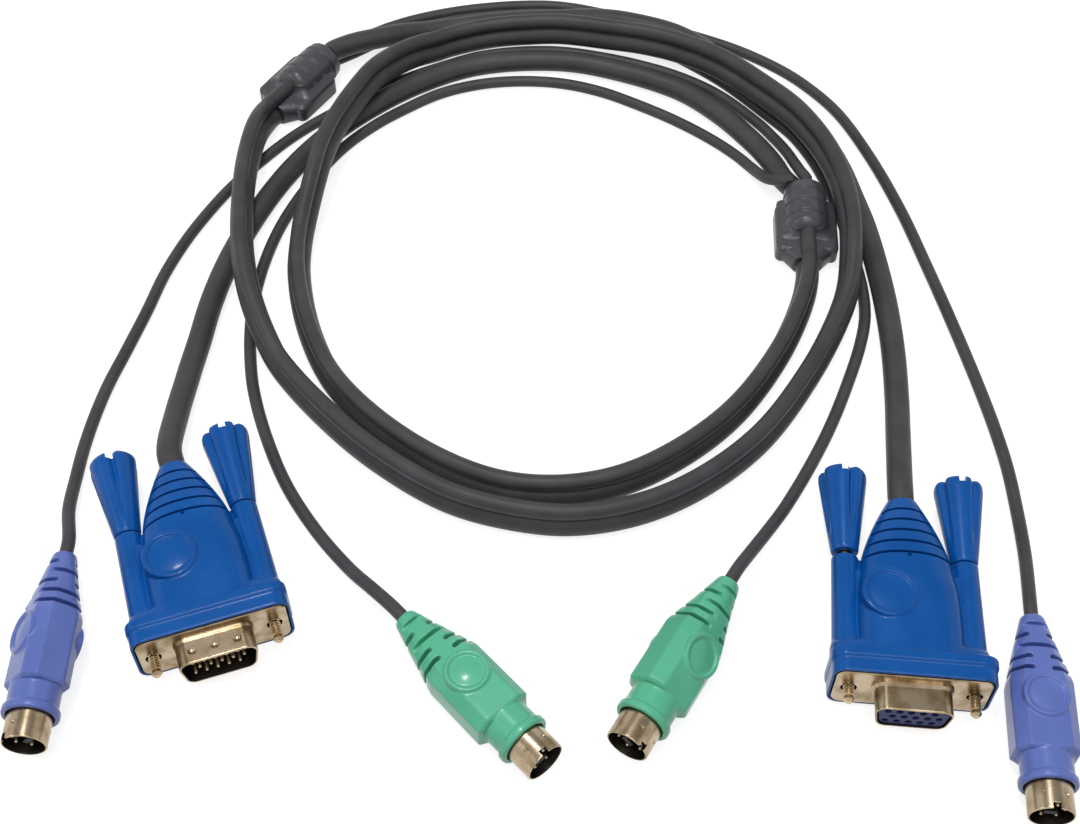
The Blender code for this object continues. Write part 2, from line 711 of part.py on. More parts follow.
def make_round_shell(name, seat, material):
    """Make the round plug's drawn tube with its rim notch."""
    outer = ROUND_SHELL_D / 2
    inner = outer - ROUND_SHELL_WALL
    rear = -LIP_FRONT - ROUND_SHELL_SEAT
    edge = 0.15 * MM
    shell = add_object(name, turned(name, [
        (rear, inner), (rear, outer), (-edge, outer), (0.0, outer - edge), (0.0, inner)], 24, closed=True),
        material, seat)
    half = ROUND_NOTCH_WIDTH / 2
    notch = cutter(name + "_notch", box_mesh(name + "_notch", (-ROUND_NOTCH_DEPTH, -half, 0.0),
                   (MM, half, ROUND_SHELL_D)), seat)
    combine(shell, notch, "DIFFERENCE")
    return shell


def round_contact_places():
    """Return the six pins' side and height about the round plug's axis."""
    ring_r = 2.55 * MM
    places = []
    for degrees in (20, 75, 105, 160, -55, -125):
        angle = math.radians(degrees)
        places.append((ring_r * math.cos(angle), ring_r * math.sin(angle)))
    return places


def make_round_insert(name, seat, material):
    """Make the round plug's contact block with its key and six pins."""
    radius = ROUND_SHELL_D / 2 - ROUND_SHELL_WALL - FIT_GAP
    rear = -LIP_FRONT - ROUND_SHELL_SEAT
    block = turned(name, [(rear, radius), (-ROUND_INSERT_DEPTH, radius)], 20)
    insert = add_object(name, block, material, seat)
    half = ROUND_KEY_WIDTH / 2
    key = cutter(name + "_key", box_mesh(name + "_key", (rear + MM, -half, -ROUND_KEY_HEIGHT),
                 (-ROUND_PIN_SETBACK, half, 0.0)), seat)
    combine(insert, key, "UNION")
    bm = bmesh.new()
    for place in round_contact_places():
        outline = circle(ROUND_PIN_D / 2, 6, place)
        add_loft(bm, [across(rear + MM, outline), across(-ROUND_PIN_SETBACK, outline)])
    pins = cutter(name + "_pins", mesh_from(bm, name + "_pins"), seat)
    combine(insert, pins, "UNION")
    return insert


def round_plug_rest_height(roll):
    """Return the axis height at which a rolled round plug just touches the table."""
    angle = math.radians(roll)
    disc_r = ROUND_DISC_D / 2
    disc_top = GRIP_HEIGHT / 2 + ROUND_DISC_PROUD
    corners = [
        (GRIP_WIDTH / 2, GRIP_HEIGHT / 2 - GRIP_CHAMFER),
        (GRIP_WIDTH / 2 - GRIP_CHAMFER, GRIP_HEIGHT / 2),
        (disc_r, disc_top - DISC_EDGE),
        (disc_r - DISC_EDGE, disc_top),
    ]
    return max(side * abs(math.sin(angle)) + high * abs(math.cos(angle)) for side, high in corners)


def make_round_plug(plug, place, colour, materials):
    """Make a whole round plug, lying on its buttons or its side."""
    seat = add_seat(plug + "_seat", *place)
    make_grip(plug + "_grip", seat, materials[colour])
    make_round_shell(plug + "_shell", seat, materials["nickel"])
    make_round_insert(plug + "_insert", seat, materials["black"])


# Junction block


def block_barrel_profile():
    """Return the barrel's profile: two ring grooves, then a rounded bulb."""
    radius = BLOCK_BARREL_D / 2
    edge = 0.5 * MM
    profile = [(-BLOCK_BACK, radius - 0.9 * MM), (-BLOCK_BACK + edge, radius - 0.4 * MM)]
    for back in BLOCK_GROOVES:
        for step, depth in ((-0.5, 0.0), (-0.25, 1.0), (0.25, 1.0), (0.5, 0.0)):
            along = -back + step * BLOCK_GROOVE_WIDTH
            profile.append((along, radius - depth * BLOCK_GROOVE_DEPTH))
    bulb_steps = 3
    bulb_r = 2.6 * MM
    for k in range(bulb_steps + 1):
        angle = math.pi / 2 * k / bulb_steps
        profile.append((BLOCK_BULB_END - bulb_r + bulb_r * math.sin(angle),
                        radius - bulb_r + bulb_r * math.cos(angle)))
    return profile


def make_block(name, seat, material):
    """Make a junction block: a wing plate, the barrel through it and the trunk's nose."""
    edge = 0.7 * MM
    low = WING_LOW - BLOCK_AXIS_Z
    high = low + WING_T
    middle = (WING_FRONT - WING_BACK) / 2
    length = WING_FRONT + WING_BACK
    rings = []
    for height, inset in ((low, edge), (low + edge, 0.0), (high - edge, 0.0), (high, edge)):
        outline = rounded_rectangle(length - 2 * inset, WING_WIDTH - 2 * inset, 1.6 * MM)
        rings.append(flat(height, [(x + middle, y) for x, y in outline]))
    block = add_object(name, loft(name, rings), material, seat)
    barrel = cutter(name + "_barrel", turned(name + "_barrel", block_barrel_profile(), 24), seat)
    combine(block, barrel, "UNION")
    nose_low = -BLOCK_AXIS_Z + CORD_LIFT
    nose_high = nose_low + TRUNK_THICK_LOBE_D + 0.8 * MM
    nose_mid = (nose_low + nose_high) / 2
    nose_rings = []
    for along, width in (
        (BLOCK_BULB_END - 2 * MM, NOSE_BACK_WIDTH), (WING_FRONT, NOSE_BACK_WIDTH),
        (NOSE_FRONT - 0.4 * MM, NOSE_FRONT_WIDTH), (NOSE_FRONT, NOSE_FRONT_WIDTH - 0.8 * MM),
    ):
        outline = oval(width, nose_high - nose_low, 2.8, 24)
        nose_rings.append(across(along, [(side, z + nose_mid) for side, z in outline]))
    nose = cutter(name + "_nose", loft(name + "_nose", nose_rings), seat)
    combine(block, nose, "UNION")
    ridge_z = -BLOCK_AXIS_Z + CORD_LIFT + TRUNK_THICK_LOBE_D / 2 + LOBE_SPACING
    ridge_outline = circle(TRUNK_THIN_LOBE_D / 2, 16, (0.0, ridge_z))
    ridge = cutter(name + "_ridge", loft(name + "_ridge", [
        across(BLOCK_BULB_END - 3 * MM, ridge_outline), across(NOSE_FRONT - 0.1 * MM, ridge_outline)]), seat)
    combine(block, ridge, "UNION")
    return block


# Cords


def smooth_curve(points, samples=10):
    """Return points along a centripetal Catmull-Rom curve through the given points."""
    route = [Vector(p) for p in points]
    route = [2 * route[0] - route[1]] + route + [2 * route[-1] - route[-2]]
    curve = []
    for i in range(1, len(route) - 2):
        a, b, c, d = route[i - 1:i + 3]
        t1 = (b - a).length ** 0.5
        t2 = t1 + (c - b).length ** 0.5
        t3 = t2 + (d - c).length ** 0.5
        for k in range(samples):
            t = mix(t1, t2, k / samples)
            ab = a.lerp(b, t / t1)
            bc = b.lerp(c, (t - t1) / (t2 - t1))
            cd = c.lerp(d, (t - t2) / (t3 - t2))
            abc = ab.lerp(bc, t / t2)
            bcd = bc.lerp(cd, (t - t1) / (t3 - t1))
            curve.append(abc.lerp(bcd, (t - t1) / (t2 - t1)))
    curve.append(route[-2])
    return curve


def even_steps(curve, step, rest_z):
    """Read a dense curve at near-equal steps between two short straight ends, no lower than its rest."""
    lengths = [0.0]
    for a, b in zip(curve, curve[1:]):
        lengths.append(lengths[-1] + (b - a).length)
    total = lengths[-1]
    count = round(total / step)
    targets = [mix(CORD_LEAD, total - CORD_LEAD, k / count) for k in range(count + 1)]
    points = []
    i = 0
    for target in [0.0] + targets + [total]:
        while i < len(lengths) - 2 and lengths[i + 1] < target:
            i += 1
        share = (target - lengths[i]) / (lengths[i + 1] - lengths[i])
        point = curve[i].lerp(curve[i + 1], share)
        point.z = max(point.z, rest_z)
        points.append(point)
    return points


def cord_curve(name, points):
    """Return curve data with one straight-segment spline through the points."""
    data = bpy.data.curves.new(name, "CURVE")
    data.dimensions = "3D"
    data.twist_mode = "Z_UP"
    spline = data.splines.new("POLY")
    spline.points.add(len(points) - 1)
    for target, point in zip(spline.points, points):
        target.co = (*point, 1.0)
    data.use_fill_caps = True
    return data


def add_curve_object(name, data, material):
    """Put a cord in the scene."""
    data.materials.append(material)
    cord = bpy.data.objects.new(name, data)
    bpy.context.scene.collection.objects.link(cord)
    return cord


def make_round_cord(name, route, diameter, step, rings, material):
    """Make a plain round cord along its route."""
    points = even_steps(smooth_curve(route), step, diameter / 2 + CORD_LIFT)
    data = cord_curve(name, points)
    data.bevel_depth = diameter / 2
    data.bevel_resolution = rings
    return add_curve_object(name, data, material)


def trunk_outline():
    """Return the trunk's section: a thin lobe fused on top of a thick one."""
    thick_r = TRUNK_THICK_LOBE_D / 2
    thin_r = TRUNK_THIN_LOBE_D / 2
    thick_z = thick_r - TRUNK_HEIGHT / 2
    thin_z = thick_z + LOBE_SPACING
    waist = (LOBE_SPACING ** 2 + thick_r ** 2 - thin_r ** 2) / (2 * LOBE_SPACING)
    thick_open = math.acos(waist / thick_r)
    thin_open = math.acos((LOBE_SPACING - waist) / thin_r)
    points = []
    thick_steps = 10
    for k in range(thick_steps + 1):
        angle = mix(thick_open, 2 * math.pi - thick_open, k / thick_steps)
        points.append((thick_r * math.sin(angle), thick_z + thick_r * math.cos(angle)))
    thin_steps = 7
    for k in range(1, thin_steps):
        angle = mix(thin_open - math.pi, math.pi - thin_open, k / thin_steps)
        points.append((thin_r * math.sin(angle), thin_z + thin_r * math.cos(angle)))
    return points


def make_trunk(name, route, material):
    """Make the trunk by sweeping its two-lobed section along its route."""
    section = cord_curve(name + "_section", [(x, y, 0.0) for x, y in trunk_outline()])
    section.use_fill_caps = False
    section.splines[0].use_cyclic_u = True
    guide = bpy.data.objects.new(name + "_section", section)
    bpy.context.scene.collection.objects.link(guide)
    guide.hide_render = True
    guide.display_type = "WIRE"
    points = even_steps(smooth_curve(route), TRUNK_STEP, TRUNK_HEIGHT / 2 + CORD_LIFT)
    data = cord_curve(name, points)
    data.bevel_mode = "OBJECT"
    data.bevel_object = guide
    return add_curve_object(name, data, material)


def exit_points(matrix, local, direction, leads):
    """Return points straight out of an exit, in world space."""
    start = matrix @ Vector(local)
    way = matrix.to_3x3() @ Vector(direction)
    return [tuple(start + way * lead) for lead in leads]


# Places of the plugs and blocks on the table, in millimetres and degrees.
# The layout is drawn about the loop's middle; ORIGIN moves it onto the footprint's centre.
ORIGIN = (-0.675, 8.49)
MALE_PLUG = (-66.3, -63.6, -71.5)
FEMALE_PLUG = (74.1, -75.2, -95.0)
ROUND_PLUGS = {
    "green_left": (1.1, -89.5, -47.6, 0.0),
    "purple_left": (-100.9, -86.5, -90.7, 50.0),
    "green_right": (16.9, -86.7, -121.5, -47.0),
    "purple_right": (97.7, -100.6, -95.3, 0.0),
}
BLOCK_LEFT = (-62.4, 108.7, -123.0)
BLOCK_RIGHT = (66.3, 57.1, -93.0)

# Heights of the cords' middles in the layout, in millimetres
TRUNK_Z = (TRUNK_HEIGHT / 2 + CORD_LIFT) / MM
VIDEO_Z = (VIDEO_CORD_D / 2 + CORD_LIFT) / MM
THIN_Z = (THIN_CORD_D / 2 + CORD_LIFT) / MM

# Where each cord leaves its junction block: to the side, and the height, in millimetres
LEFT_EXITS = {"video": (1.0, 6.9), "purple": (-3.2, 4.4), "green": (-0.2, 2.1)}
RIGHT_EXITS = {"video": (-1.5, 3.2), "purple": (0.3, 8.4), "green": (-3.7, 7.5)}

TRUNK_ROUTE = [
    (-73.6, 84.5, 7.9), (-74.5, 74.0, 8.6), (-74.2, 62.0, 10.2), (-73.2, 50.0, 11.0),
    (-71.8, 40.0, 10.4), (-69.4, 30.0, 8.6), (-65.2, 19.5, 6.4), (-60.0, 10.1, TRUNK_Z),
    (-48.9, -3.5, TRUNK_Z), (-35.7, -16.0, TRUNK_Z), (-19.7, -26.6, TRUNK_Z), (-4.3, -31.3, TRUNK_Z),
    (7.6, -32.3, TRUNK_Z), (21.8, -29.5, TRUNK_Z), (35.3, -22.7, TRUNK_Z), (49.5, -10.5, TRUNK_Z),
    (62.7, 8.6, TRUNK_Z), (71.3, 25.2, 5.4), (74.2, 33.0, 7.0), (75.7, 42.0, 9.0), (76.3, 50.1, 10.1),
    (76.2, 58.0, 10.2), (75.2, 67.1, 9.9), (73.2, 75.0, 9.7), (70.4, 82.2, 9.5), (66.3, 90.0, 9.2),
    (60.2, 97.6, 9.0), (48.3, 110.2, 8.3), (37.9, 117.1, 7.7), (28.1, 121.0, 7.4), (18.9, 123.4, 7.0),
    (5.5, 126.4, 6.4), (-4.6, 126.8, 5.7), (-12.5, 126.5, 5.1), (-20.2, 124.8, TRUNK_Z),
    (-28.0, 121.4, TRUNK_Z), (-34.4, 116.4, 6.7), (-39.4, 110.4, 8.6), (-43.8, 103.4, 10.5),
    (-47.7, 96.0, 11.0), (-50.9, 88.8, 11.0), (-53.7, 81.0, 11.0), (-55.4, 73.6, 10.8), (-56.8, 65.6, 9.6),
    (-58.2, 57.5, 7.4), (-59.2, 49.0, 5.4), (-58.9, 39.6, TRUNK_Z), (-55.0, 22.2, TRUNK_Z),
    (-47.4, 5.7, TRUNK_Z), (-36.2, -7.1, TRUNK_Z), (-22.2, -17.6, TRUNK_Z), (-8.8, -23.5, TRUNK_Z),
    (4.4, -24.8, TRUNK_Z), (17.7, -22.1, TRUNK_Z), (31.3, -14.6, TRUNK_Z), (44.4, -2.9, TRUNK_Z),
    (56.2, 14.6, TRUNK_Z), (63.4, 31.0, TRUNK_Z),
]
VIDEO_MALE_ROUTE = [
    (62.2, 72.4, VIDEO_Z), (60.2, 77.6, VIDEO_Z), (57.6, 82.6, VIDEO_Z), (53.8, 88.4, VIDEO_Z),
    (47.6, 96.4, VIDEO_Z),
    (37.7, 105.5, VIDEO_Z), (21.0, 113.4, VIDEO_Z), (5.5, 117.2, VIDEO_Z), (-16.4, 115.6, VIDEO_Z),
    (-32.2, 108.5, VIDEO_Z), (-45.3, 98.6, VIDEO_Z), (-56.0, 87.4, VIDEO_Z), (-64.4, 75.0, VIDEO_Z),
    (-71.2, 60.4, VIDEO_Z), (-76.4, 44.6, VIDEO_Z), (-79.2, 31.0, VIDEO_Z), (-80.6, 18.5, VIDEO_Z),
    (-82.0, 7.1, VIDEO_Z), (-82.7, -4.6, 4.4),
]
GREEN_LEFT_ROUTE = [
    (60.6, 68.0, 6.6), (58.0, 70.7, 4.6), (56.2, 74.2, 2.9), (54.0, 78.6, THIN_Z),
    (47.4, 86.0, THIN_Z), (37.1, 94.4, THIN_Z),
    (26.4, 101.2, THIN_Z), (16.0, 106.6, THIN_Z), (5.3, 109.8, THIN_Z), (-5.4, 110.6, THIN_Z),
    (-16.1, 109.4, THIN_Z), (-26.6, 105.8, THIN_Z), (-36.4, 99.4, THIN_Z), (-44.0, 93.2, THIN_Z),
    (-51.6, 84.8, THIN_Z), (-58.8, 72.6, THIN_Z), (-65.2, 57.0, THIN_Z), (-68.5, 41.7, THIN_Z),
    (-69.4, 26.4, THIN_Z), (-67.8, 11.2, THIN_Z), (-65.8, 2.4, THIN_Z), (-61.9, -9.1, THIN_Z),
    (-56.2, -21.8, THIN_Z), (-48.6, -33.7, THIN_Z), (-40.6, -43.6, 2.2), (-35.2, -49.6, 4.2),
]
PURPLE_LEFT_ROUTE = [
    (66.4, 69.8, 7.4), (65.4, 75.2, 5.4), (63.9, 81.8, 3.4), (60.9, 89.6, THIN_Z),
    (55.2, 97.5, THIN_Z), (47.5, 105.7, THIN_Z),
    (38.1, 112.2, THIN_Z), (28.0, 116.8, THIN_Z), (17.0, 120.3, THIN_Z), (5.5, 122.6, THIN_Z),
    (-5.5, 122.6, THIN_Z), (-16.5, 120.7, THIN_Z), (-26.2, 116.7, THIN_Z), (-38.0, 110.6, THIN_Z),
    (-53.0, 99.8, THIN_Z), (-64.4, 89.8, THIN_Z), (-72.0, 80.8, THIN_Z), (-78.9, 71.0, THIN_Z),
    (-83.4, 63.0, THIN_Z), (-88.1, 52.9, THIN_Z), (-92.2, 40.9, THIN_Z), (-94.8, 29.2, THIN_Z),
    (-97.9, 16.9, THIN_Z), (-100.9, 5.1, THIN_Z), (-103.0, -9.2, THIN_Z), (-103.4, -20.0, 2.0),
    (-102.6, -30.0, 4.6),
]
VIDEO_FEMALE_ROUTE = [
    (-50.8, 119.8, 6.8), (-44.6, 122.6, 6.2), (-37.4, 125.8, 5.2), (-30.5, 128.7, 3.6),
    (-22.3, 131.2, VIDEO_Z), (-9.5, 133.5, VIDEO_Z), (5.6, 133.8, 3.4), (16.7, 131.2, 5.8),
    (27.0, 128.0, 6.6), (38.7, 124.5, 5.2), (52.0, 114.4, VIDEO_Z), (63.8, 100.9, VIDEO_Z),
    (70.3, 92.7, VIDEO_Z), (74.8, 84.0, VIDEO_Z), (77.4, 75.8, VIDEO_Z), (79.6, 64.8, VIDEO_Z),
    (81.2, 56.2, VIDEO_Z), (82.5, 44.1, VIDEO_Z), (83.3, 30.0, VIDEO_Z), (83.2, 15.8, VIDEO_Z),
    (82.1, 1.2, 3.2), (80.6, -10.0, 4.8),
]
PURPLE_RIGHT_ROUTE = [
    (-52.2, 125.4, 2.4), (-44.7, 131.2, THIN_Z), (-37.9, 134.8, THIN_Z), (-31.0, 137.4, THIN_Z),
    (-22.6, 139.7, THIN_Z), (-14.1, 141.2, THIN_Z), (-5.7, 142.0, THIN_Z), (2.8, 142.0, THIN_Z),
    (9.6, 140.9, THIN_Z), (16.9, 138.8, THIN_Z), (26.0, 135.8, THIN_Z), (36.0, 131.8, THIN_Z),
    (45.7, 127.7, THIN_Z), (55.5, 122.5, THIN_Z), (64.8, 115.8, THIN_Z), (71.0, 109.8, THIN_Z),
    (79.0, 98.8, THIN_Z), (85.6, 82.8, THIN_Z), (91.4, 62.8, THIN_Z), (95.4, 43.6, THIN_Z),
    (98.9, 25.2, THIN_Z), (102.0, 7.0, THIN_Z), (103.8, -5.9, THIN_Z), (104.8, -17.1, THIN_Z),
    (104.8, -29.0, 1.8), (104.0, -41.0, 3.2),
]
GREEN_RIGHT_ROUTE = [
    (-50.4, 122.6, THIN_Z), (-43.4, 127.6, THIN_Z), (-37.0, 131.2, THIN_Z), (-30.2, 133.7, THIN_Z),
    (-22.4, 136.0, THIN_Z), (-9.5, 138.0, THIN_Z), (5.6, 138.2, THIN_Z), (16.7, 134.8, THIN_Z),
    (27.0, 128.4, THIN_Z), (38.4, 119.8, THIN_Z), (49.6, 110.0, THIN_Z), (60.3, 97.5, THIN_Z),
    (66.3, 89.8, THIN_Z), (70.2, 82.0, THIN_Z), (72.8, 74.6, THIN_Z), (75.0, 65.0, THIN_Z),
    (76.6, 56.0, THIN_Z), (77.8, 46.0, THIN_Z), (78.6, 36.0, THIN_Z), (78.2, 27.4, THIN_Z),
    (76.0, 18.6, THIN_Z), (71.1, 5.6, THIN_Z), (66.2, -5.6, THIN_Z), (60.5, -16.5, THIN_Z),
    (54.1, -27.2, THIN_Z), (48.0, -36.2, 3.0), (44.4, -41.8, 5.2),
]


def on_table(place, height, roll=0.0):
    """Return a seat's arguments from a place in the layout."""
    return ((place[0] - ORIGIN[0]) * MM, (place[1] - ORIGIN[1]) * MM, height, place[2], roll)


def laid(route):
    """Return a layout route in the part's own frame, in metres."""
    return [((x - ORIGIN[0]) * MM, (y - ORIGIN[1]) * MM, z * MM) for x, y, z in route]


def block_exit(block, exits, kind):
    """Return a cord's first points, straight out of its junction block."""
    side, height = exits[kind]
    matrix = seat_matrix(*on_table(block, 0.0))
    local = (-BLOCK_BACK - FACE_GAP, side * MM, height * MM)
    return exit_points(matrix, local, (-1, 0, 0), (0.0, BLOCK_LEAD))


def video_plug_exit(place):
    """Return a thick cord's last points, straight into its plug's neck."""
    matrix = seat_matrix(*on_table(place, VIDEO_AXIS_Z))
    return exit_points(matrix, (-HOOD_LENGTH - FACE_GAP, 0, 0), (-1, 0, 0), (VIDEO_PLUG_LEAD, 0.0))


def round_plug_exit(place):
    """Return a thin cord's last points, straight into its plug's boot."""
    roll = place[3]
    matrix = seat_matrix(*on_table(place, round_plug_rest_height(roll), roll))
    return exit_points(matrix, (-BOOT_END - FACE_GAP, 0, 0), (-1, 0, 0), (ROUND_PLUG_LEAD, 0.0))


def trunk_exit(block):
    """Return the trunk's points straight out of a junction block's nose."""
    matrix = seat_matrix(*on_table(block, 0.0))
    return exit_points(matrix, (NOSE_FRONT + FACE_GAP, 0, TRUNK_Z * MM), (1, 0, 0), (0.0, TRUNK_LEAD))


def make_cords(material):
    """Make the trunk and the six cords that branch from it."""
    start = trunk_exit(BLOCK_LEFT)
    end = trunk_exit(BLOCK_RIGHT)[::-1]
    make_trunk("trunk_cable", start + laid(TRUNK_ROUTE) + end, material)
    for name, block, exits, route, place in (
        ("video_cord_male", BLOCK_RIGHT, RIGHT_EXITS, VIDEO_MALE_ROUTE, MALE_PLUG),
        ("video_cord_female", BLOCK_LEFT, LEFT_EXITS, VIDEO_FEMALE_ROUTE, FEMALE_PLUG),
    ):
        points = block_exit(block, exits, "video") + laid(route) + video_plug_exit(place)
        make_round_cord(name, points, VIDEO_CORD_D, VIDEO_CORD_STEP, 3, material)
    for plug, block, exits, kind, route in (
        ("green_left", BLOCK_RIGHT, RIGHT_EXITS, "green", GREEN_LEFT_ROUTE),
        ("purple_left", BLOCK_RIGHT, RIGHT_EXITS, "purple", PURPLE_LEFT_ROUTE),
        ("green_right", BLOCK_LEFT, LEFT_EXITS, "green", GREEN_RIGHT_ROUTE),
        ("purple_right", BLOCK_LEFT, LEFT_EXITS, "purple", PURPLE_RIGHT_ROUTE),
    ):
        points = block_exit(block, exits, kind) + laid(route) + round_plug_exit(ROUND_PLUGS[plug])
        make_round_cord("round_cord_" + plug, points, THIN_CORD_D, THIN_CORD_STEP, 2, material)


def main():
    """Build the whole cable."""
    clear_scene()
    materials = {
        "cord": plastic("cord_grey", (0.075, 0.08, 0.085), 0.5),
        "block": plastic("block_grey", (0.07, 0.07, 0.075), 0.55),
        "hood": plastic("hood_blue", (0.006, 0.098, 0.376), 0.4),
        "purple": plastic("plug_purple", (0.144, 0.178, 0.578), 0.45),
        "green": plastic("plug_green", (0.07, 0.485, 0.283), 0.45),
        "black": plastic("insert_black", (0.012, 0.012, 0.014), 0.5),
        "dark_blue": plastic("insert_blue", (0.01, 0.02, 0.12), 0.5),
        "nickel": finish("shell_nickel", (0.62, 0.58, 0.48), 0.25, 1.0),
        "brass": finish("screw_brass", (0.6, 0.47, 0.3), 0.35, 1.0),
    }
    make_video_plug("male", on_table(MALE_PLUG, VIDEO_AXIS_Z), materials,
                    (MALE_SHELL_WIDTH, MALE_SHELL_HEIGHT), True,
                    (SEATED_BACKOUT, SEATED_BACKOUT), MALE_KNOB_TURNS)
    make_video_plug("female", on_table(FEMALE_PLUG, VIDEO_AXIS_Z), materials,
                    (FEMALE_SHELL_WIDTH, FEMALE_SHELL_HEIGHT), False,
                    (LOOSE_BACKOUT, SEATED_BACKOUT), FEMALE_KNOB_TURNS)
    for plug, place in ROUND_PLUGS.items():
        roll = place[3]
        seat_place = on_table(place, round_plug_rest_height(roll), roll)
        make_round_plug(plug, seat_place, plug.split("_")[0], materials)
    for name, block in (("junction_left", BLOCK_LEFT), ("junction_right", BLOCK_RIGHT)):
        make_block(name, add_seat(name + "_seat", *on_table(block, BLOCK_AXIS_Z)), materials["block"])
    make_cords(materials["cord"])


main()
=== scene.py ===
"""Computer cable with two junction blocks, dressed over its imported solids.

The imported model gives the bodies, and each piece made here stands for one of its nodes
and rides on the same body. Sizes are in metres.
"""
import math

import bmesh
import bpy
from mathutils import Matrix, Vector


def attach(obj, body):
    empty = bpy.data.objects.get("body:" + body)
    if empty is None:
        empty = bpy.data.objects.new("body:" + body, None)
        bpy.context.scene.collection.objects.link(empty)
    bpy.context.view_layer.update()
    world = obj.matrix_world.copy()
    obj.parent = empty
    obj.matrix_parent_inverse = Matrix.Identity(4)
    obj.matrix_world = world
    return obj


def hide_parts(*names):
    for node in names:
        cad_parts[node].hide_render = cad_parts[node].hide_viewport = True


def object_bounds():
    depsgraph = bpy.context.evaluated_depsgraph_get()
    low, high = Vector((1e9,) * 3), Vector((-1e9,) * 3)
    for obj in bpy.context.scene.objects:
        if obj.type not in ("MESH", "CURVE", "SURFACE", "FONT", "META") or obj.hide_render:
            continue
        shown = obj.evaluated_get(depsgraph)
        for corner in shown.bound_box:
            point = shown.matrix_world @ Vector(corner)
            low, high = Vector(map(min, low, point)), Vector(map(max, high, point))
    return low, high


bl_info = {
    "name": "Computer Cable",
    "version": (1, 0, 0),
    "blender": (4, 5, 0),
    "location": "View3D > Sidebar > Cable",
    "description": "Builds a looped computer cable with two junction blocks and six plugs",
    "category": "Add Mesh",
}

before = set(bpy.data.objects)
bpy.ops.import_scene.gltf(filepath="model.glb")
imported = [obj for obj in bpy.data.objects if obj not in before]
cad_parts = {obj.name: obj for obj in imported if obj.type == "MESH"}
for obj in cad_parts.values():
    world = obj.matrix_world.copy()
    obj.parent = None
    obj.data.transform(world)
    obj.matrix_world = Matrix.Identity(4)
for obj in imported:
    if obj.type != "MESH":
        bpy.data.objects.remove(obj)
CAD_BOX = [list(corner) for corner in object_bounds()]

MM = 0.001

# Gaps shared by several pieces
FACE_GAP = 0.3 * MM
FIT_GAP = 0.3 * MM
CORD_LIFT = 0.05 * MM

# Video plug
SCREW_SIDE = 12.495 * MM
PLATE_WIDTH = 30.8 * MM
PLATE_HEIGHT = 12.5 * MM
PLATE_T = 0.8 * MM
PLATE_EDGE = 0.2 * MM
PLATE_CORNER_R = 2.0 * MM
PLATE_HOLE_D = 3.3 * MM
MALE_SHELL_SIZE = (17.0 * MM, 8.4 * MM)
FEMALE_SHELL_SIZE = (16.3 * MM, 7.9 * MM)
SHELL_REACH = 5.9 * MM
SHELL_WALL = 0.5 * MM
SHELL_SLOPE_DEG = 10.0
SHELL_CORNER_R = 2.4 * MM
CONTACT_PITCH = 2.29 * MM
CONTACT_ROW_PITCH = 1.98 * MM
INSERT_REAR = 4.1 * MM
HOOD_LENGTH = 44.5 * MM
COLLAR_WIDTH = 34.0 * MM
COLLAR_HEIGHT = 15.2 * MM
COLLAR_REAR = 5.9 * MM
COLLAR_STEP = 3.2 * MM
COLLAR_CORNER_R = 3.0 * MM
RIM_WALL = 0.6 * MM
BODY_WIDTH = 21.6 * MM
BODY_HEIGHT = 13.0 * MM
BODY_STRAIGHT = 14.0 * MM
BODY_REAR = 26.5 * MM
SHOULDER_REAR = 10.5 * MM
SHOULDER_HEIGHT = 10.6 * MM
WEB_REAR = 26.0 * MM
WEB_HEIGHT = 4.6 * MM
NECK_END_D = 6.7 * MM
NECK_CURVE = 1.5
NECK_SLOTS = 5
NECK_SLOT_PITCH = 2.95 * MM
NECK_SLOT_FIRST = 29.4 * MM
HOOD_DISC_D = 11.5 * MM
HOOD_DISC_BACK = 19.0 * MM
HOOD_DISC_SIDE = 4.5 * MM
HOOD_DISC_PROUD = 0.55 * MM
BARREL_D = 5.7 * MM
BARREL_FRONT_D = 6.6 * MM
BARREL_END = 30.0 * MM
BARREL_BORE_R = 1.7 * MM
KNOB_LENGTH = 20.0 * MM
KNOB_END_D = 10.4 * MM
KNOB_SLOT_HALF = 0.75 * MM
KNOB_SLOT_DEPTH = 1.6 * MM
SCREW_SHANK_R = 1.2 * MM
SCREW_CREST_R = 1.15 * MM
SCREW_ROOT_R = 0.92 * MM
SCREW_THREAD = 7.0 * MM
SCREW_SEAT = 12.0 * MM
SCREW_TIP = 4.4 * MM
SCREW_PITCH = 0.635 * MM

# Round plug
LIP_FRONT = 5.8 * MM
LIP_LENGTH = 1.6 * MM
LIP_R = 5.8 * MM
LIP_EDGE = 0.35 * MM
GRIP_COLLAR_R = 5.2 * MM
GRIP_FRONT = 12.0 * MM
GRIP_WIDTH = 12.8 * MM
GRIP_HEIGHT = 10.6 * MM
GRIP_CHAMFER = 2.4 * MM
GRIP_REAR = 27.5 * MM
BOOT_END = 43.2 * MM
BOOT_END_D = 5.2 * MM
ROUND_DISC_D = 9.4 * MM
ROUND_DISC_BACK = 23.2 * MM
ROUND_DISC_PROUD = 0.6 * MM
ROUND_SHELL_SEAT = 3.7 * MM
ROUND_SHELL_REAR = -LIP_FRONT - ROUND_SHELL_SEAT
ROUND_SHELL_R = 4.5 * MM
ROUND_SHELL_IN_R = 4.05 * MM
ROUND_DIMPLE_BACK = 3.2 * MM
ROUND_BLOCK_R = 3.75 * MM
ROUND_BLOCK_FACE = 5.0 * MM
ROUND_CONTACT_R = 2.55 * MM

# Buttons on the plugs
DISC_EDGE = 0.25 * MM
DISC_SINK = 0.5 * MM
DISC_DOME = 0.45 * MM

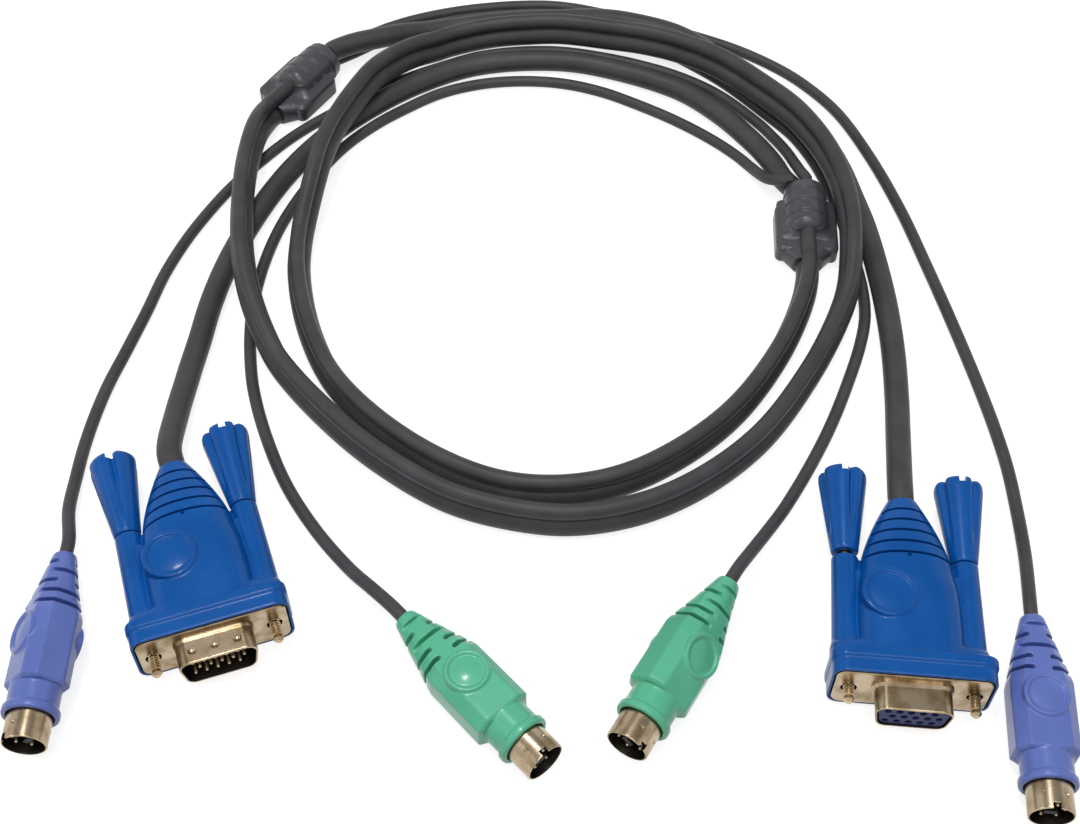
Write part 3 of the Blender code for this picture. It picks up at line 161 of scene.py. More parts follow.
# Junction block
BLOCK_AXIS_Z = 5.5 * MM
BLOCK_BARREL_R = 5.5 * MM
BLOCK_BACK = 8.1 * MM
BLOCK_BULB_END = 7.6 * MM
BLOCK_BULB_R = 2.6 * MM
BLOCK_RINGS = (-4.6 * MM, -0.8 * MM, 3.2 * MM)
WING_FRONT = 12.2 * MM
WING_BACK = 3.0 * MM
WING_LENGTH = 15.2 * MM
WING_WIDTH = 15.3 * MM
WING_LIFT = 0.8 * MM
WING_T = 5.4 * MM
NOSE_FRONT = 14.8 * MM
NOSE_WIDTH = 12.0 * MM
NOSE_HEIGHT = 6.45 * MM
LOBE_R = 1.9 * MM
LOBE_HEIGHT = 7.4 * MM

# Places on the table in the layout: side and depth in millimetres, then turn and roll in degrees
ORIGIN = (-0.675, 8.49)
VIDEO_AXIS_Z = COLLAR_HEIGHT / 2
MALE_PLUG = (-66.3, -63.6, -71.5)
FEMALE_PLUG = (74.1, -75.2, -95.0)
VIDEO_PLUGS = {"male": MALE_PLUG, "female": FEMALE_PLUG}
ROUND_PLUGS = {
    "green_left": (1.1, -89.5, -47.6, 0.0),
    "purple_left": (-100.9, -86.5, -90.7, 50.0),
    "green_right": (16.9, -86.7, -121.5, -47.0),
    "purple_right": (97.7, -100.6, -95.3, 0.0),
}
BLOCK_LEFT = (-62.4, 108.7, -123.0)
BLOCK_RIGHT = (66.3, 57.1, -93.0)

# Each thumbscrew's plug and side, how far it is backed out, and how its lobes stand in degrees
THUMBSCREWS = (
    ("male", "left", 0.0, 38.0),
    ("male", "right", 0.0, 4.0),
    ("female", "left", 1.0 * MM, 26.0),
    ("female", "right", 0.0, 10.0),
)
SIDES = {"left": -1, "right": 1}

# Heights of the cords' middles at rest in the layout, in millimetres
TRUNK_Z = 4.7
VIDEO_Z = 2.875
THIN_Z = 1.5

# Side and height of the cords where they leave each block, in millimetres
LEFT_EXITS = {"video": (1.0, 6.9), "purple": (-3.2, 4.4), "green": (-0.2, 2.1)}
RIGHT_EXITS = {"video": (-1.5, 3.2), "purple": (0.3, 8.4), "green": (-3.7, 7.5)}

# How far the cords run straight out of their blocks and plugs
BLOCK_LEAD = 1.5 * MM
TRUNK_LEAD = 2.5 * MM
VIDEO_PLUG_LEAD = 5 * MM
ROUND_PLUG_LEAD = 3.5 * MM

# Routes in the layout in millimetres: side, depth and, where the cord is off the table, height
TRUNK_ROUTE = [
    (-73.6, 84.5, 7.9), (-74.5, 74.0, 8.6), (-74.2, 62.0, 10.2), (-73.2, 50.0, 11.0), (-71.8, 40.0, 10.4),
    (-69.4, 30.0, 8.6), (-65.2, 19.5, 6.4), (-60.0, 10.1), (-48.9, -3.5), (-35.7, -16.0), (-19.7, -26.6),
    (-4.3, -31.3), (7.6, -32.3), (21.8, -29.5), (35.3, -22.7), (49.5, -10.5), (62.7, 8.6),
    (71.3, 25.2, 5.4), (74.2, 33.0, 7.0), (75.7, 42.0, 9.0), (76.3, 50.1, 10.1), (76.2, 58.0, 10.2),
    (75.2, 67.1, 9.9), (73.2, 75.0, 9.7), (70.4, 82.2, 9.5), (66.3, 90.0, 9.2), (60.2, 97.6, 9.0),
    (48.3, 110.2, 8.3), (37.9, 117.1, 7.7), (28.1, 121.0, 7.4), (18.9, 123.4, 7.0), (5.5, 126.4, 6.4),
    (-4.6, 126.8, 5.7), (-12.5, 126.5, 5.1), (-20.2, 124.8), (-28.0, 121.4), (-34.4, 116.4, 6.7),
    (-39.4, 110.4, 8.6), (-43.8, 103.4, 10.5), (-47.7, 96.0, 11.0), (-50.9, 88.8, 11.0),
    (-53.7, 81.0, 11.0), (-55.4, 73.6, 10.8), (-56.8, 65.6, 9.6), (-58.2, 57.5, 7.4), (-59.2, 49.0, 5.4),
    (-58.9, 39.6), (-55.0, 22.2), (-47.4, 5.7), (-36.2, -7.1), (-22.2, -17.6), (-8.8, -23.5),
    (4.4, -24.8), (17.7, -22.1), (31.3, -14.6), (44.4, -2.9), (56.2, 14.6), (63.4, 31.0),
]
VIDEO_MALE_ROUTE = [
    (62.2, 72.4), (60.2, 77.6), (57.6, 82.6), (53.8, 88.4), (47.6, 96.4), (37.7, 105.5), (21.0, 113.4),
    (5.5, 117.2), (-16.4, 115.6), (-32.2, 108.5), (-45.3, 98.6), (-56.0, 87.4), (-64.4, 75.0),
    (-71.2, 60.4), (-76.4, 44.6), (-79.2, 31.0), (-80.6, 18.5), (-82.0, 7.1), (-82.7, -4.6, 4.4),
]
GREEN_LEFT_ROUTE = [
    (60.6, 68.0, 6.6), (58.0, 70.7, 4.6), (56.2, 74.2, 2.9), (54.0, 78.6), (47.4, 86.0), (37.1, 94.4),
    (26.4, 101.2), (16.0, 106.6), (5.3, 109.8), (-5.4, 110.6), (-16.1, 109.4), (-26.6, 105.8),
    (-36.4, 99.4), (-44.0, 93.2), (-51.6, 84.8), (-58.8, 72.6), (-65.2, 57.0), (-68.5, 41.7),
    (-69.4, 26.4), (-67.8, 11.2), (-65.8, 2.4), (-61.9, -9.1), (-56.2, -21.8), (-48.6, -33.7),
    (-40.6, -43.6, 2.2), (-35.2, -49.6, 4.2),
]
PURPLE_LEFT_ROUTE = [
    (66.4, 69.8, 7.4), (65.4, 75.2, 5.4), (63.9, 81.8, 3.4), (60.9, 89.6), (55.2, 97.5), (47.5, 105.7),
    (38.1, 112.2), (28.0, 116.8), (17.0, 120.3), (5.5, 122.6), (-5.5, 122.6), (-16.5, 120.7),
    (-26.2, 116.7), (-38.0, 110.6), (-53.0, 99.8), (-64.4, 89.8), (-72.0, 80.8), (-78.9, 71.0),
    (-83.4, 63.0), (-88.1, 52.9), (-92.2, 40.9), (-94.8, 29.2), (-97.9, 16.9), (-100.9, 5.1),
    (-103.0, -9.2), (-103.4, -20.0, 2.0), (-102.6, -30.0, 4.6),
]
VIDEO_FEMALE_ROUTE = [
    (-50.8, 119.8, 6.8), (-44.6, 122.6, 6.2), (-37.4, 125.8, 5.2), (-30.5, 128.7, 3.6), (-22.3, 131.2),
    (-9.5, 133.5), (5.6, 133.8, 3.4), (16.7, 131.2, 5.8), (27.0, 128.0, 6.6), (38.7, 124.5, 5.2),
    (52.0, 114.4), (63.8, 100.9), (70.3, 92.7), (74.8, 84.0), (77.4, 75.8), (79.6, 64.8), (81.2, 56.2),
    (82.5, 44.1), (83.3, 30.0), (83.2, 15.8), (82.1, 1.2, 3.2), (80.6, -10.0, 4.8),
]
PURPLE_RIGHT_ROUTE = [
    (-52.2, 125.4, 2.4), (-44.7, 131.2), (-37.9, 134.8), (-31.0, 137.4), (-22.6, 139.7), (-14.1, 141.2),
    (-5.7, 142.0), (2.8, 142.0), (9.6, 140.9), (16.9, 138.8), (26.0, 135.8), (36.0, 131.8), (45.7, 127.7),
    (55.5, 122.5), (64.8, 115.8), (71.0, 109.8), (79.0, 98.8), (85.6, 82.8), (91.4, 62.8), (95.4, 43.6),
    (98.9, 25.2), (102.0, 7.0), (103.8, -5.9), (104.8, -17.1), (104.8, -29.0, 1.8), (104.0, -41.0, 3.2),
]
GREEN_RIGHT_ROUTE = [
    (-50.4, 122.6), (-43.4, 127.6), (-37.0, 131.2), (-30.2, 133.7), (-22.4, 136.0), (-9.5, 138.0),
    (5.6, 138.2), (16.7, 134.8), (27.0, 128.4), (38.4, 119.8), (49.6, 110.0), (60.3, 97.5), (66.3, 89.8),
    (70.2, 82.0), (72.8, 74.6), (75.0, 65.0), (76.6, 56.0), (77.8, 46.0), (78.6, 36.0), (78.2, 27.4),
    (76.0, 18.6), (71.1, 5.6), (66.2, -5.6), (60.5, -16.5), (54.1, -27.2), (48.0, -36.2, 3.0),
    (44.4, -41.8, 5.2),
]

# Each branch cord's plug, block, exits, kind and route
BRANCHES = (
    ("male", BLOCK_RIGHT, RIGHT_EXITS, "video", VIDEO_MALE_ROUTE),
    ("female", BLOCK_LEFT, LEFT_EXITS, "video", VIDEO_FEMALE_ROUTE),
    ("green_left", BLOCK_RIGHT, RIGHT_EXITS, "green", GREEN_LEFT_ROUTE),
    ("purple_left", BLOCK_RIGHT, RIGHT_EXITS, "purple", PURPLE_LEFT_ROUTE),
    ("green_right", BLOCK_LEFT, LEFT_EXITS, "green", GREEN_RIGHT_ROUTE),
    ("purple_right", BLOCK_LEFT, LEFT_EXITS, "purple", PURPLE_RIGHT_ROUTE),
)


def on_table(place, height, roll=0.0):
    """Return the placement of a plug or block that stands at a height on the table."""
    x = (place[0] - ORIGIN[0]) * MM
    y = (place[1] - ORIGIN[1]) * MM
    turn = Matrix.Rotation(math.radians(place[2]), 4, "Z") @ Matrix.Rotation(math.radians(roll), 4, "X")
    return Matrix.Translation((x, y, height)) @ turn


def laid(route, rest):
    """Return a layout route in metres, at its rest height where it gives no height."""
    points = []
    for x, y, *lifted in route:
        z = lifted[0] if lifted else rest
        points.append(Vector(((x - ORIGIN[0]) * MM, (y - ORIGIN[1]) * MM, z * MM)))
    return points


def mix(a, b, share):
    """Return the value a share of the way from a to b."""
    return a + (b - a) * share


# Mesh making


def mesh_from(bm, name, smooth_angle=32.0):
    """Finish a bmesh with faces pointing out and soft shading."""
    bmesh.ops.recalc_face_normals(bm, faces=bm.faces)
    mesh = bpy.data.meshes.new(name)
    bm.to_mesh(mesh)
    bm.free()
    mesh.shade_smooth()
    mesh.set_sharp_from_angle(angle=math.radians(smooth_angle))
    return mesh


def add_loft(bm, rings, closed=False, lid=True):
    """Skin rings of equal count, with end caps, or round on itself when closed."""
    rows = [[bm.verts.new(point) for point in ring] for ring in rings]
    count = len(rows[0])
    pairs = list(zip(rows, rows[1:]))
    if closed:
        pairs.append((rows[-1], rows[0]))
    for first, second in pairs:
        for i in range(count):
            j = (i + 1) % count
            bm.faces.new((first[i], first[j], second[j], second[i]))
    if not closed:
        bm.faces.new(rows[0])
    if lid and not closed:
        bm.faces.new(rows[-1])


def loft(name, rings, closed=False, lid=True):
    """Return a mesh skinned over rings."""
    bm = bmesh.new()
    add_loft(bm, rings, closed, lid)
    return mesh_from(bm, name)


def across(x, outline):
    """Stand a side-and-height outline across the X axis."""
    return [Vector((x, side, height)) for side, height in outline]


def flat(z, outline):
    """Lay an outline flat at a height."""
    return [Vector((x, y, z)) for x, y in outline]


def circle(radius, segments, centre=(0.0, 0.0)):
    """Return points round a circle."""
    points = []
    for i in range(segments):
        angle = 2 * math.pi * (i + 0.5) / segments
        points.append((centre[0] + radius * math.cos(angle), centre[1] + radius * math.sin(angle)))
    return points


def turned(name, profile, segments, closed=False):
    """Turn a profile of (along, radius) points about the X axis."""
    return loft(name, [across(along, circle(radius, segments)) for along, radius in profile], closed)


def round_corners(corners, radius, steps):
    """Round each corner of a convex outline with an arc of the given radius."""
    points = []
    for i, corner in enumerate(corners):
        here = Vector(corner)
        back = (Vector(corners[i - 1]) - here).normalized()
        ahead = (Vector(corners[(i + 1) % len(corners)]) - here).normalized()
        half = back.angle(ahead) / 2
        reach = radius / math.tan(half)
        centre = here + (back + ahead).normalized() * radius / math.sin(half)
        start = here + back * reach - centre
        end = here + ahead * reach - centre
        sweep = start.angle_signed(end)
        for k in range(steps + 1):
            point = centre + Matrix.Rotation(-sweep * k / steps, 2) @ start
            points.append((point.x, point.y))
    return points


def rounded_rectangle(width, height, radius, steps=8):
    """Return a rounded rectangle about the origin."""
    w = width / 2
    h = height / 2
    return round_corners([(-w, -h), (w, -h), (w, h), (-w, h)], radius, steps)


def tapered_outline(width, height, grow=0.0, steps=8):
    """Return the video shell's outline: wide side up, sloping ends, round corners."""
    top = width / 2 + grow
    h = height / 2 + grow
    bottom = top - (height + 2 * grow) * math.tan(math.radians(SHELL_SLOPE_DEG))
    radius = SHELL_CORNER_R + grow
    return round_corners([(-bottom, -h), (bottom, -h), (top, h), (-top, h)], radius, steps)


def oval(width, height, power, segments):
    """Return a superellipse, which is squarer as its power grows."""
    points = []
    for i in range(segments):
        angle = 2 * math.pi * (i + 0.5) / segments
        c = math.cos(angle)
        s = math.sin(angle)
        side = math.copysign(abs(c) ** (2 / power), c) * width / 2
        high = math.copysign(abs(s) ** (2 / power), s) * height / 2
        points.append((side, high))
    return points


def add_box(bm, low, high):
    """Add a box between two corners."""
    outline = [(low[0], low[1]), (high[0], low[1]), (high[0], high[1]), (low[0], high[1])]
    add_loft(bm, [flat(low[2], outline), flat(high[2], outline)])


def box_mesh(name, low, high):
    """Return a box between two corners."""
    bm = bmesh.new()
    add_box(bm, low, high)
    return mesh_from(bm, name)


def disc_mesh(name, diameter, base, top, segments=64):
    """Return a round button: a raised ring with a shallow dome inside it."""
    radius = diameter / 2
    ring_in = diameter * 0.41
    dome_start = ring_in - 0.3 * MM
    dome_base = top - DISC_SINK
    profile = [(base, radius), (top - DISC_EDGE, radius), (top, radius - DISC_EDGE), (top, ring_in)]
    dome_steps = 10
    for k in range(dome_steps):
        share = k / dome_steps
        profile.append((dome_base + DISC_DOME * (1 - (1 - share) ** 2), dome_start * (1 - share)))
    return loft(name, [flat(height, circle(reach, segments)) for height, reach in profile])


# Object making


def new_object(name, data):
    """Put data in the scene as an object."""
    piece = bpy.data.objects.new(name, data)
    bpy.context.scene.collection.objects.link(piece)
    return piece


def combine(piece, guide_mesh, operation, location, turn_x=0.0):
    """Add or cut a guide solid and keep the result."""
    guide = new_object("guide", guide_mesh)
    guide.location = location
    guide.rotation_euler.x = turn_x
    modifier = piece.modifiers.new("shape", "BOOLEAN")
    modifier.operation = operation
    modifier.object = guide
    modifier.solver = "EXACT"
    keep_shape(piece)
    bpy.data.objects.remove(guide, do_unlink=True)


def join(piece, mesh, location=(0, 0, 0), turn_x=0.0):
    """Join a solid to a piece."""
    combine(piece, mesh, "UNION", location, turn_x)


def cut(piece, mesh, location=(0, 0, 0)):
    """Cut a solid out of a piece."""
    combine(piece, mesh, "DIFFERENCE", location)


def keep_shape(piece):
    """Write a piece's modifiers into its mesh."""
    graph = bpy.context.evaluated_depsgraph_get()
    graph.update()
    result = bpy.data.meshes.new_from_object(piece.evaluated_get(graph))
    piece.modifiers.clear()
    old = piece.data
    piece.data = result
    bpy.data.meshes.remove(old)


def melt_edges(piece, voxel, passes, kept):
    """Give a moulded piece soft inner and outer edges, then thin its facets to the share kept."""
    remesh = piece.modifiers.new("even", "REMESH")
    remesh.mode = "VOXEL"
    remesh.voxel_size = voxel
    remesh.adaptivity = 0.0
    soften = piece.modifiers.new("soften", "SMOOTH")
    soften.factor = 0.5
    soften.iterations = passes
    thin = piece.modifiers.new("thin", "DECIMATE")
    thin.ratio = kept
    keep_shape(piece)
    piece.data.shade_smooth()


def even_shading(piece, angle=32.0):
    """Shade a piece smooth, with its flat faces kept flat and its sharp edges kept sharp."""
    piece.data.shade_smooth()
    piece.data.set_sharp_from_angle(angle=math.radians(angle))
    weigh = piece.modifiers.new("weigh", "WEIGHTED_NORMAL")
    weigh.keep_sharp = True
    weigh.weight = 100
    keep_shape(piece)


def finish_piece(piece, name, matrix, finish, body, *nodes):
    """Place a made piece, give it its finish and let it stand for its node."""
    piece.name = name
    piece.data.name = name
    piece.data.transform(matrix)
    if len(piece.data.materials) < 2:
        piece.data.materials.clear()
        piece.data.materials.append(finish_named(finish))
    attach(piece, body)
    if nodes:
        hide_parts(*nodes)


def paint_shade_inside(piece, reach):
    """Plate a hollow piece and paint shade inside it: a darker metal on the faces that look at its axis ahead
    of a station.
    """
    piece.data.materials.clear()
    piece.data.materials.append(finish_named("shell_nickel"))
    piece.data.materials.append(finish_named("shell_painted_shade"))
    for face in piece.data.polygons:
        centre = face.center
        if centre.x > reach and face.normal.y * centre.y + face.normal.z * centre.z < -0.3 * MM:
            face.material_index = 1


# Materials


def shader_of(material):
    """Return a new material's Principled shader."""
    material.use_nodes = True
    return material.node_tree.nodes["Principled BSDF"]


def noise_node(material, scale, detail, source):
    """Add noise read from a piece's own coordinates, or from stretched ones."""
    noise = material.node_tree.nodes.new("ShaderNodeTexNoise")
    noise.inputs["Scale"].default_value = scale
    noise.inputs["Detail"].default_value = detail
    material.node_tree.links.new(source, noise.inputs["Vector"])
    return noise


def cloud_colour(material, noise, low, low_tone, high, high_tone):
    """Let a noise move the colour from one tone to another between two levels."""
    ramp = material.node_tree.nodes.new("ShaderNodeValToRGB")
    first, last = ramp.color_ramp.elements
    first.position = low
    first.color = (*low_tone, 1.0)
    last.position = high
    last.color = (*high_tone, 1.0)
    links = material.node_tree.links
    links.new(noise.outputs["Fac"], ramp.inputs["Fac"])
    links.new(ramp.outputs["Color"], shader_of(material).inputs["Base Color"])


def uneven_sheen(material, noise, low, high):
    """Let a noise move the roughness between two values."""
    sheen = material.node_tree.nodes.new("ShaderNodeMapRange")
    sheen.inputs["To Min"].default_value = low
    sheen.inputs["To Max"].default_value = high
    links = material.node_tree.links
    links.new(noise.outputs["Fac"], sheen.inputs["Value"])
    links.new(sheen.outputs["Result"], shader_of(material).inputs["Roughness"])


def fine_relief(material, noise, strength):
    """Let a noise raise and sink the surface a little."""
    surface = material.node_tree.nodes.new("ShaderNodeBump")
    surface.inputs["Strength"].default_value = strength
    surface.inputs["Distance"].default_value = 0.1 * MM
    links = material.node_tree.links
    links.new(noise.outputs["Fac"], surface.inputs["Height"])
    links.new(surface.outputs["Normal"], shader_of(material).inputs["Normal"])


def moulded_plastic(name, colour, roughness, grain, bump, spread, gloss, polish):
    """Return a moulded plastic with cloudy colour, uneven sheen and fine grain."""
    material = bpy.data.materials.new(name)
    shader = shader_of(material)
    own = material.node_tree.nodes.new("ShaderNodeTexCoord").outputs["Object"]
    low = [channel * (1 - spread) for channel in colour]
    high = [min(channel * (1 + spread) + 0.004, 1.0) for channel in colour]
    cloud_colour(material, noise_node(material, 120.0, 4.0, own), 0.3, low, 0.7, high)
    uneven_sheen(material, noise_node(material, 420.0, 3.0, own), roughness - 0.07, roughness + 0.07)
    fine_relief(material, noise_node(material, grain, 2.0, own), bump)
    shader.inputs["Specular IOR Level"].default_value = gloss
    shader.inputs["Coat Weight"].default_value = polish
    shader.inputs["Coat Roughness"].default_value = 0.13
    return material


def plated_metal(name, colour, roughness, tarnish):
    """Return a plated metal with faint tarnish, rubbed patches and fine scratches."""
    material = bpy.data.materials.new(name)
    shader_of(material).inputs["Metallic"].default_value = 1.0
    nodes = material.node_tree.nodes
    own = nodes.new("ShaderNodeTexCoord").outputs["Object"]
    patches = noise_node(material, 260.0, 5.0, own)
    cloud_colour(material, patches, 0.35, tarnish, 0.6, colour)
    uneven_sheen(material, patches, roughness + 0.1, roughness - 0.06)
    stretch = nodes.new("ShaderNodeMapping")
    stretch.inputs["Scale"].default_value = (1.0, 14.0, 14.0)
    material.node_tree.links.new(own, stretch.inputs["Vector"])
    fine_relief(material, noise_node(material, 300.0, 3.0, stretch.outputs["Vector"]), 0.04)
    return material


def finish_named(finish):
    """Return one of the cable's finishes, made the first time that it is asked for."""
    name = finish + "_finish"
    made = bpy.data.materials.get(name)
    if made:
        return made
    settings = bpy.context.scene.cable_settings
    # Colour, roughness, grain, depth of the grain, spread of the colour, gloss and polish
    plastics = {
        "cable_jacket": (settings.jacket_colour, 0.46, 1800.0, 0.12, 0.16, 0.3, 0.0),
        "junction_grey": (settings.junction_colour, 0.34, 2600.0, 0.1, 0.1, 0.5, 0.0),
        "hood_blue": (settings.hood_colour, 0.32, 3200.0, 0.05, 0.08, 0.12, 0.25),
        "plug_purple": (settings.purple_colour, 0.32, 3000.0, 0.05, 0.06, 0.25, 0.3),
        "plug_green": (settings.green_colour, 0.32, 3000.0, 0.05, 0.06, 0.25, 0.3),
        "insert_black": ((0.012, 0.012, 0.014), 0.45, 3000.0, 0.06, 0.1, 0.3, 0.0),
        "insert_blue": ((0.008, 0.018, 0.11), 0.45, 3000.0, 0.06, 0.1, 0.3, 0.0),
    }
    # Colour, roughness and colour of the tarnish
    metals = {
        "shell_nickel": (settings.shell_colour, 0.24, (0.26, 0.19, 0.1)),
        # Darker metal that is painted shade on the inner faces of the shells and tubes
        "shell_painted_shade": ((0.09, 0.08, 0.065), 0.4, (0.05, 0.045, 0.04)),
        "contact_gold": ((0.5, 0.42, 0.27), 0.35, (0.38, 0.31, 0.2)),
        "screw_brass": ((0.56, 0.44, 0.28), 0.28, (0.36, 0.26, 0.15)),
    }
    if finish in plastics:
        return moulded_plastic(name, *plastics[finish])
    return plated_metal(name, *metals[finish])


class CableSettings(bpy.types.PropertyGroup):
    """Sizes and colours of the cable."""

    video_cord_diameter: bpy.props.FloatProperty(
        name="Video Cord", description="Diameter of the thick cords",
        default=0.00565, subtype="DISTANCE", unit="LENGTH")
    thin_cord_diameter: bpy.props.FloatProperty(
        name="Thin Cord", description="Diameter of the thin cords",
        default=0.0029, subtype="DISTANCE", unit="LENGTH")
    trunk_height: bpy.props.FloatProperty(
        name="Trunk Height", description="Height of the two-lobed trunk",
        default=0.0093, subtype="DISTANCE", unit="LENGTH")
    trunk_thin_lobe: bpy.props.FloatProperty(
        name="Trunk Thin Lobe", description="Diameter of the trunk's thin lobe",
        default=0.0038, subtype="DISTANCE", unit="LENGTH")
    jacket_colour: bpy.props.FloatVectorProperty(
        name="Jacket", description="Colour of the cords' jacket",
        default=(0.056, 0.055, 0.06), subtype="COLOR")
    junction_colour: bpy.props.FloatVectorProperty(
        name="Junction", description="Colour of the junction blocks",
        default=(0.064, 0.059, 0.068), subtype="COLOR")
    hood_colour: bpy.props.FloatVectorProperty(
        name="Hood", description="Colour of the video plugs",
        default=(0.0, 0.09, 0.37), subtype="COLOR")
    purple_colour: bpy.props.FloatVectorProperty(
        name="Purple", description="Colour of the keyboard plugs",
        default=(0.122, 0.178, 0.52), subtype="COLOR")
    green_colour: bpy.props.FloatVectorProperty(
        name="Green", description="Colour of the mouse plugs",
        default=(0.108, 0.52, 0.315), subtype="COLOR")
    shell_colour: bpy.props.FloatVectorProperty(
        name="Shell", description="Colour of the plated shells",
        default=(0.48, 0.38, 0.26), subtype="COLOR")


class CABLE_OT_camera(bpy.types.Operator):
    """Place the camera where the photograph was taken from"""

    bl_idname = "cable.camera"
    bl_label = "Camera"

    def execute(self, context):
        photo_width = 1080.0
        focal_pixels = 1600.0
        stand = (0.0, -220.1)
        data = bpy.data.cameras.new("camera")
        data.sensor_width = 36.0
        data.lens = focal_pixels / photo_width * data.sensor_width
        data.clip_start = 0.01
        camera = new_object("camera", data)
        camera.location = ((stand[0] - ORIGIN[0]) * MM, (stand[1] - ORIGIN[1]) * MM, 0.2974)
        camera.rotation_euler = (math.radians(36.5), 0.0, 0.0)
        context.scene.camera = camera
        return {"FINISHED"}


# Cords


def smooth_curve(points, samples=10):
    """Return points along a centripetal Catmull-Rom curve through the given points."""
    route = [Vector(p) for p in points]
    route = [2 * route[0] - route[1]] + route + [2 * route[-1] - route[-2]]
    curve = []
    for i in range(1, len(route) - 2):
        a, b, c, d = route[i - 1:i + 3]
        t1 = (b - a).length ** 0.5
        t2 = t1 + (c - b).length ** 0.5
        t3 = t2 + (d - c).length ** 0.5
        for k in range(samples):
            t = mix(t1, t2, k / samples)
            ab = a.lerp(b, t / t1)
            bc = b.lerp(c, (t - t1) / (t2 - t1))
            cd = c.lerp(d, (t - t2) / (t3 - t2))
            abc = ab.lerp(bc, t / t2)
            bcd = bc.lerp(cd, (t - t1) / (t3 - t1))
            curve.append(abc.lerp(bcd, (t - t1) / (t2 - t1)))
    curve.append(route[-2])
    return curve


def even_steps(curve, step, rest_z, top_z=1.0):
    """Read a dense curve at near-equal steps, no lower than its rest and no higher than its top."""
    lengths = [0.0]
    for a, b in zip(curve, curve[1:]):
        lengths.append(lengths[-1] + (b - a).length)
    count = round(lengths[-1] / step)
    points = []
    i = 0
    for k in range(count + 1):
        target = lengths[-1] * k / count
        while i < len(lengths) - 2 and lengths[i + 1] < target:
            i += 1
        share = (target - lengths[i]) / (lengths[i + 1] - lengths[i])
        point = curve[i].lerp(curve[i + 1], share)
        point.z = min(max(point.z, rest_z), top_z)
        points.append(point)
    return points


def straight_out(matrix, local, way_x, leads):
    """Return points straight out of an exit, forward or backward along the piece's X axis."""
    start = matrix @ Vector(local)
    way = matrix.to_3x3() @ Vector((way_x, 0, 0))
    return [start + way * lead for lead in leads]


def block_exit(block, exits, kind):
    """Return a cord's first points, straight out of its junction block."""
    side, height = exits[kind]
    local = (-BLOCK_BACK - FACE_GAP, side * MM, height * MM)
    return straight_out(on_table(block, 0.0), local, -1, (0.0, BLOCK_LEAD))


def trunk_exit(block):
    """Return the trunk's points straight out of a junction block's nose."""
    local = (NOSE_FRONT + FACE_GAP, 0, TRUNK_Z * MM)
    return straight_out(on_table(block, 0.0), local, 1, (0.0, TRUNK_LEAD))


def plug_exit(plug):
    """Return a cord's last points, straight into its plug's neck or boot."""
    if plug in VIDEO_PLUGS:
        seat = on_table(VIDEO_PLUGS[plug], VIDEO_AXIS_Z)
        return straight_out(seat, (-HOOD_LENGTH - FACE_GAP, 0, 0), -1, (VIDEO_PLUG_LEAD, 0.0))
    seat = round_plug_place(ROUND_PLUGS[plug])
    return straight_out(seat, (-BOOT_END - FACE_GAP, 0, 0), -1, (ROUND_PLUG_LEAD, 0.0))


def round_plug_place(place):
    """Return a round plug's placement, resting on its button, its flat or its chamfer."""
    roll = place[3]
    angle = math.radians(roll)
    disc_top = GRIP_HEIGHT / 2 + ROUND_DISC_PROUD
    corners = [
        (GRIP_WIDTH / 2, GRIP_HEIGHT / 2 - GRIP_CHAMFER),
        (GRIP_WIDTH / 2 - GRIP_CHAMFER, GRIP_HEIGHT / 2),
        (ROUND_DISC_D / 2, disc_top - DISC_EDGE),
        (ROUND_DISC_D / 2 - DISC_EDGE, disc_top),
    ]
    height = max(side * abs(math.sin(angle)) + high * abs(math.cos(angle)) for side, high in corners)
    return on_table(place, height, roll)


def round_cord(name, points, diameter, material):
    """Make a round cord as a curve along its route."""
    data = bpy.data.curves.new(name, "CURVE")
    data.dimensions = "3D"
    line = even_steps(smooth_curve(points), 1.5 * MM, diameter / 2 + CORD_LIFT)
    spline = data.splines.new("POLY")
    spline.points.add(len(line) - 1)
    for target, point in zip(spline.points, line):
        target.co = (*point, 1.0)
    spline.use_smooth = True
    data.bevel_depth = diameter / 2
    data.bevel_resolution = 6
    data.use_fill_caps = True
    data.materials.append(material)
    return new_object(name, data), line


def trunk_outline(settings):
    """Return the trunk's section: a thin lobe fused on top of a thick one, with a soft waist."""
    thick_r = settings.video_cord_diameter / 2
    thin_r = settings.trunk_thin_lobe / 2
    spacing = settings.trunk_height - thick_r - thin_r
    thick_z = thick_r - settings.trunk_height / 2
    thin_z = thick_z + spacing
    waist = (spacing ** 2 + thick_r ** 2 - thin_r ** 2) / (2 * spacing)
    thick_open = math.acos(waist / thick_r) + 0.12
    thin_open = math.acos((spacing - waist) / thin_r) + 0.14
    points = []
    thick_steps = 24
    for k in range(thick_steps + 1):
        angle = mix(thick_open, 2 * math.pi - thick_open, k / thick_steps)
        points.append((thick_r * math.sin(angle), thick_z + thick_r * math.cos(angle)))
    thin_steps = 18
    for k in range(thin_steps + 1):
        angle = mix(thin_open - math.pi, math.pi - thin_open, k / thin_steps)
        points.append((thin_r * math.sin(angle), thin_z + thin_r * math.cos(angle)))
    return points


def sweep_upright(name, line, outline):
    """Sweep a section along a line and keep it upright."""
    rings = []
    for i, point in enumerate(line):
        ahead = line[min(i + 1, len(line) - 1)] - line[max(i - 1, 0)]
        side = Vector((ahead.y, -ahead.x, 0.0)).normalized()
        up = side.cross(ahead).normalized()
        rings.append([point + side * across_way + up * high for across_way, high in outline])
    return loft(name, rings)


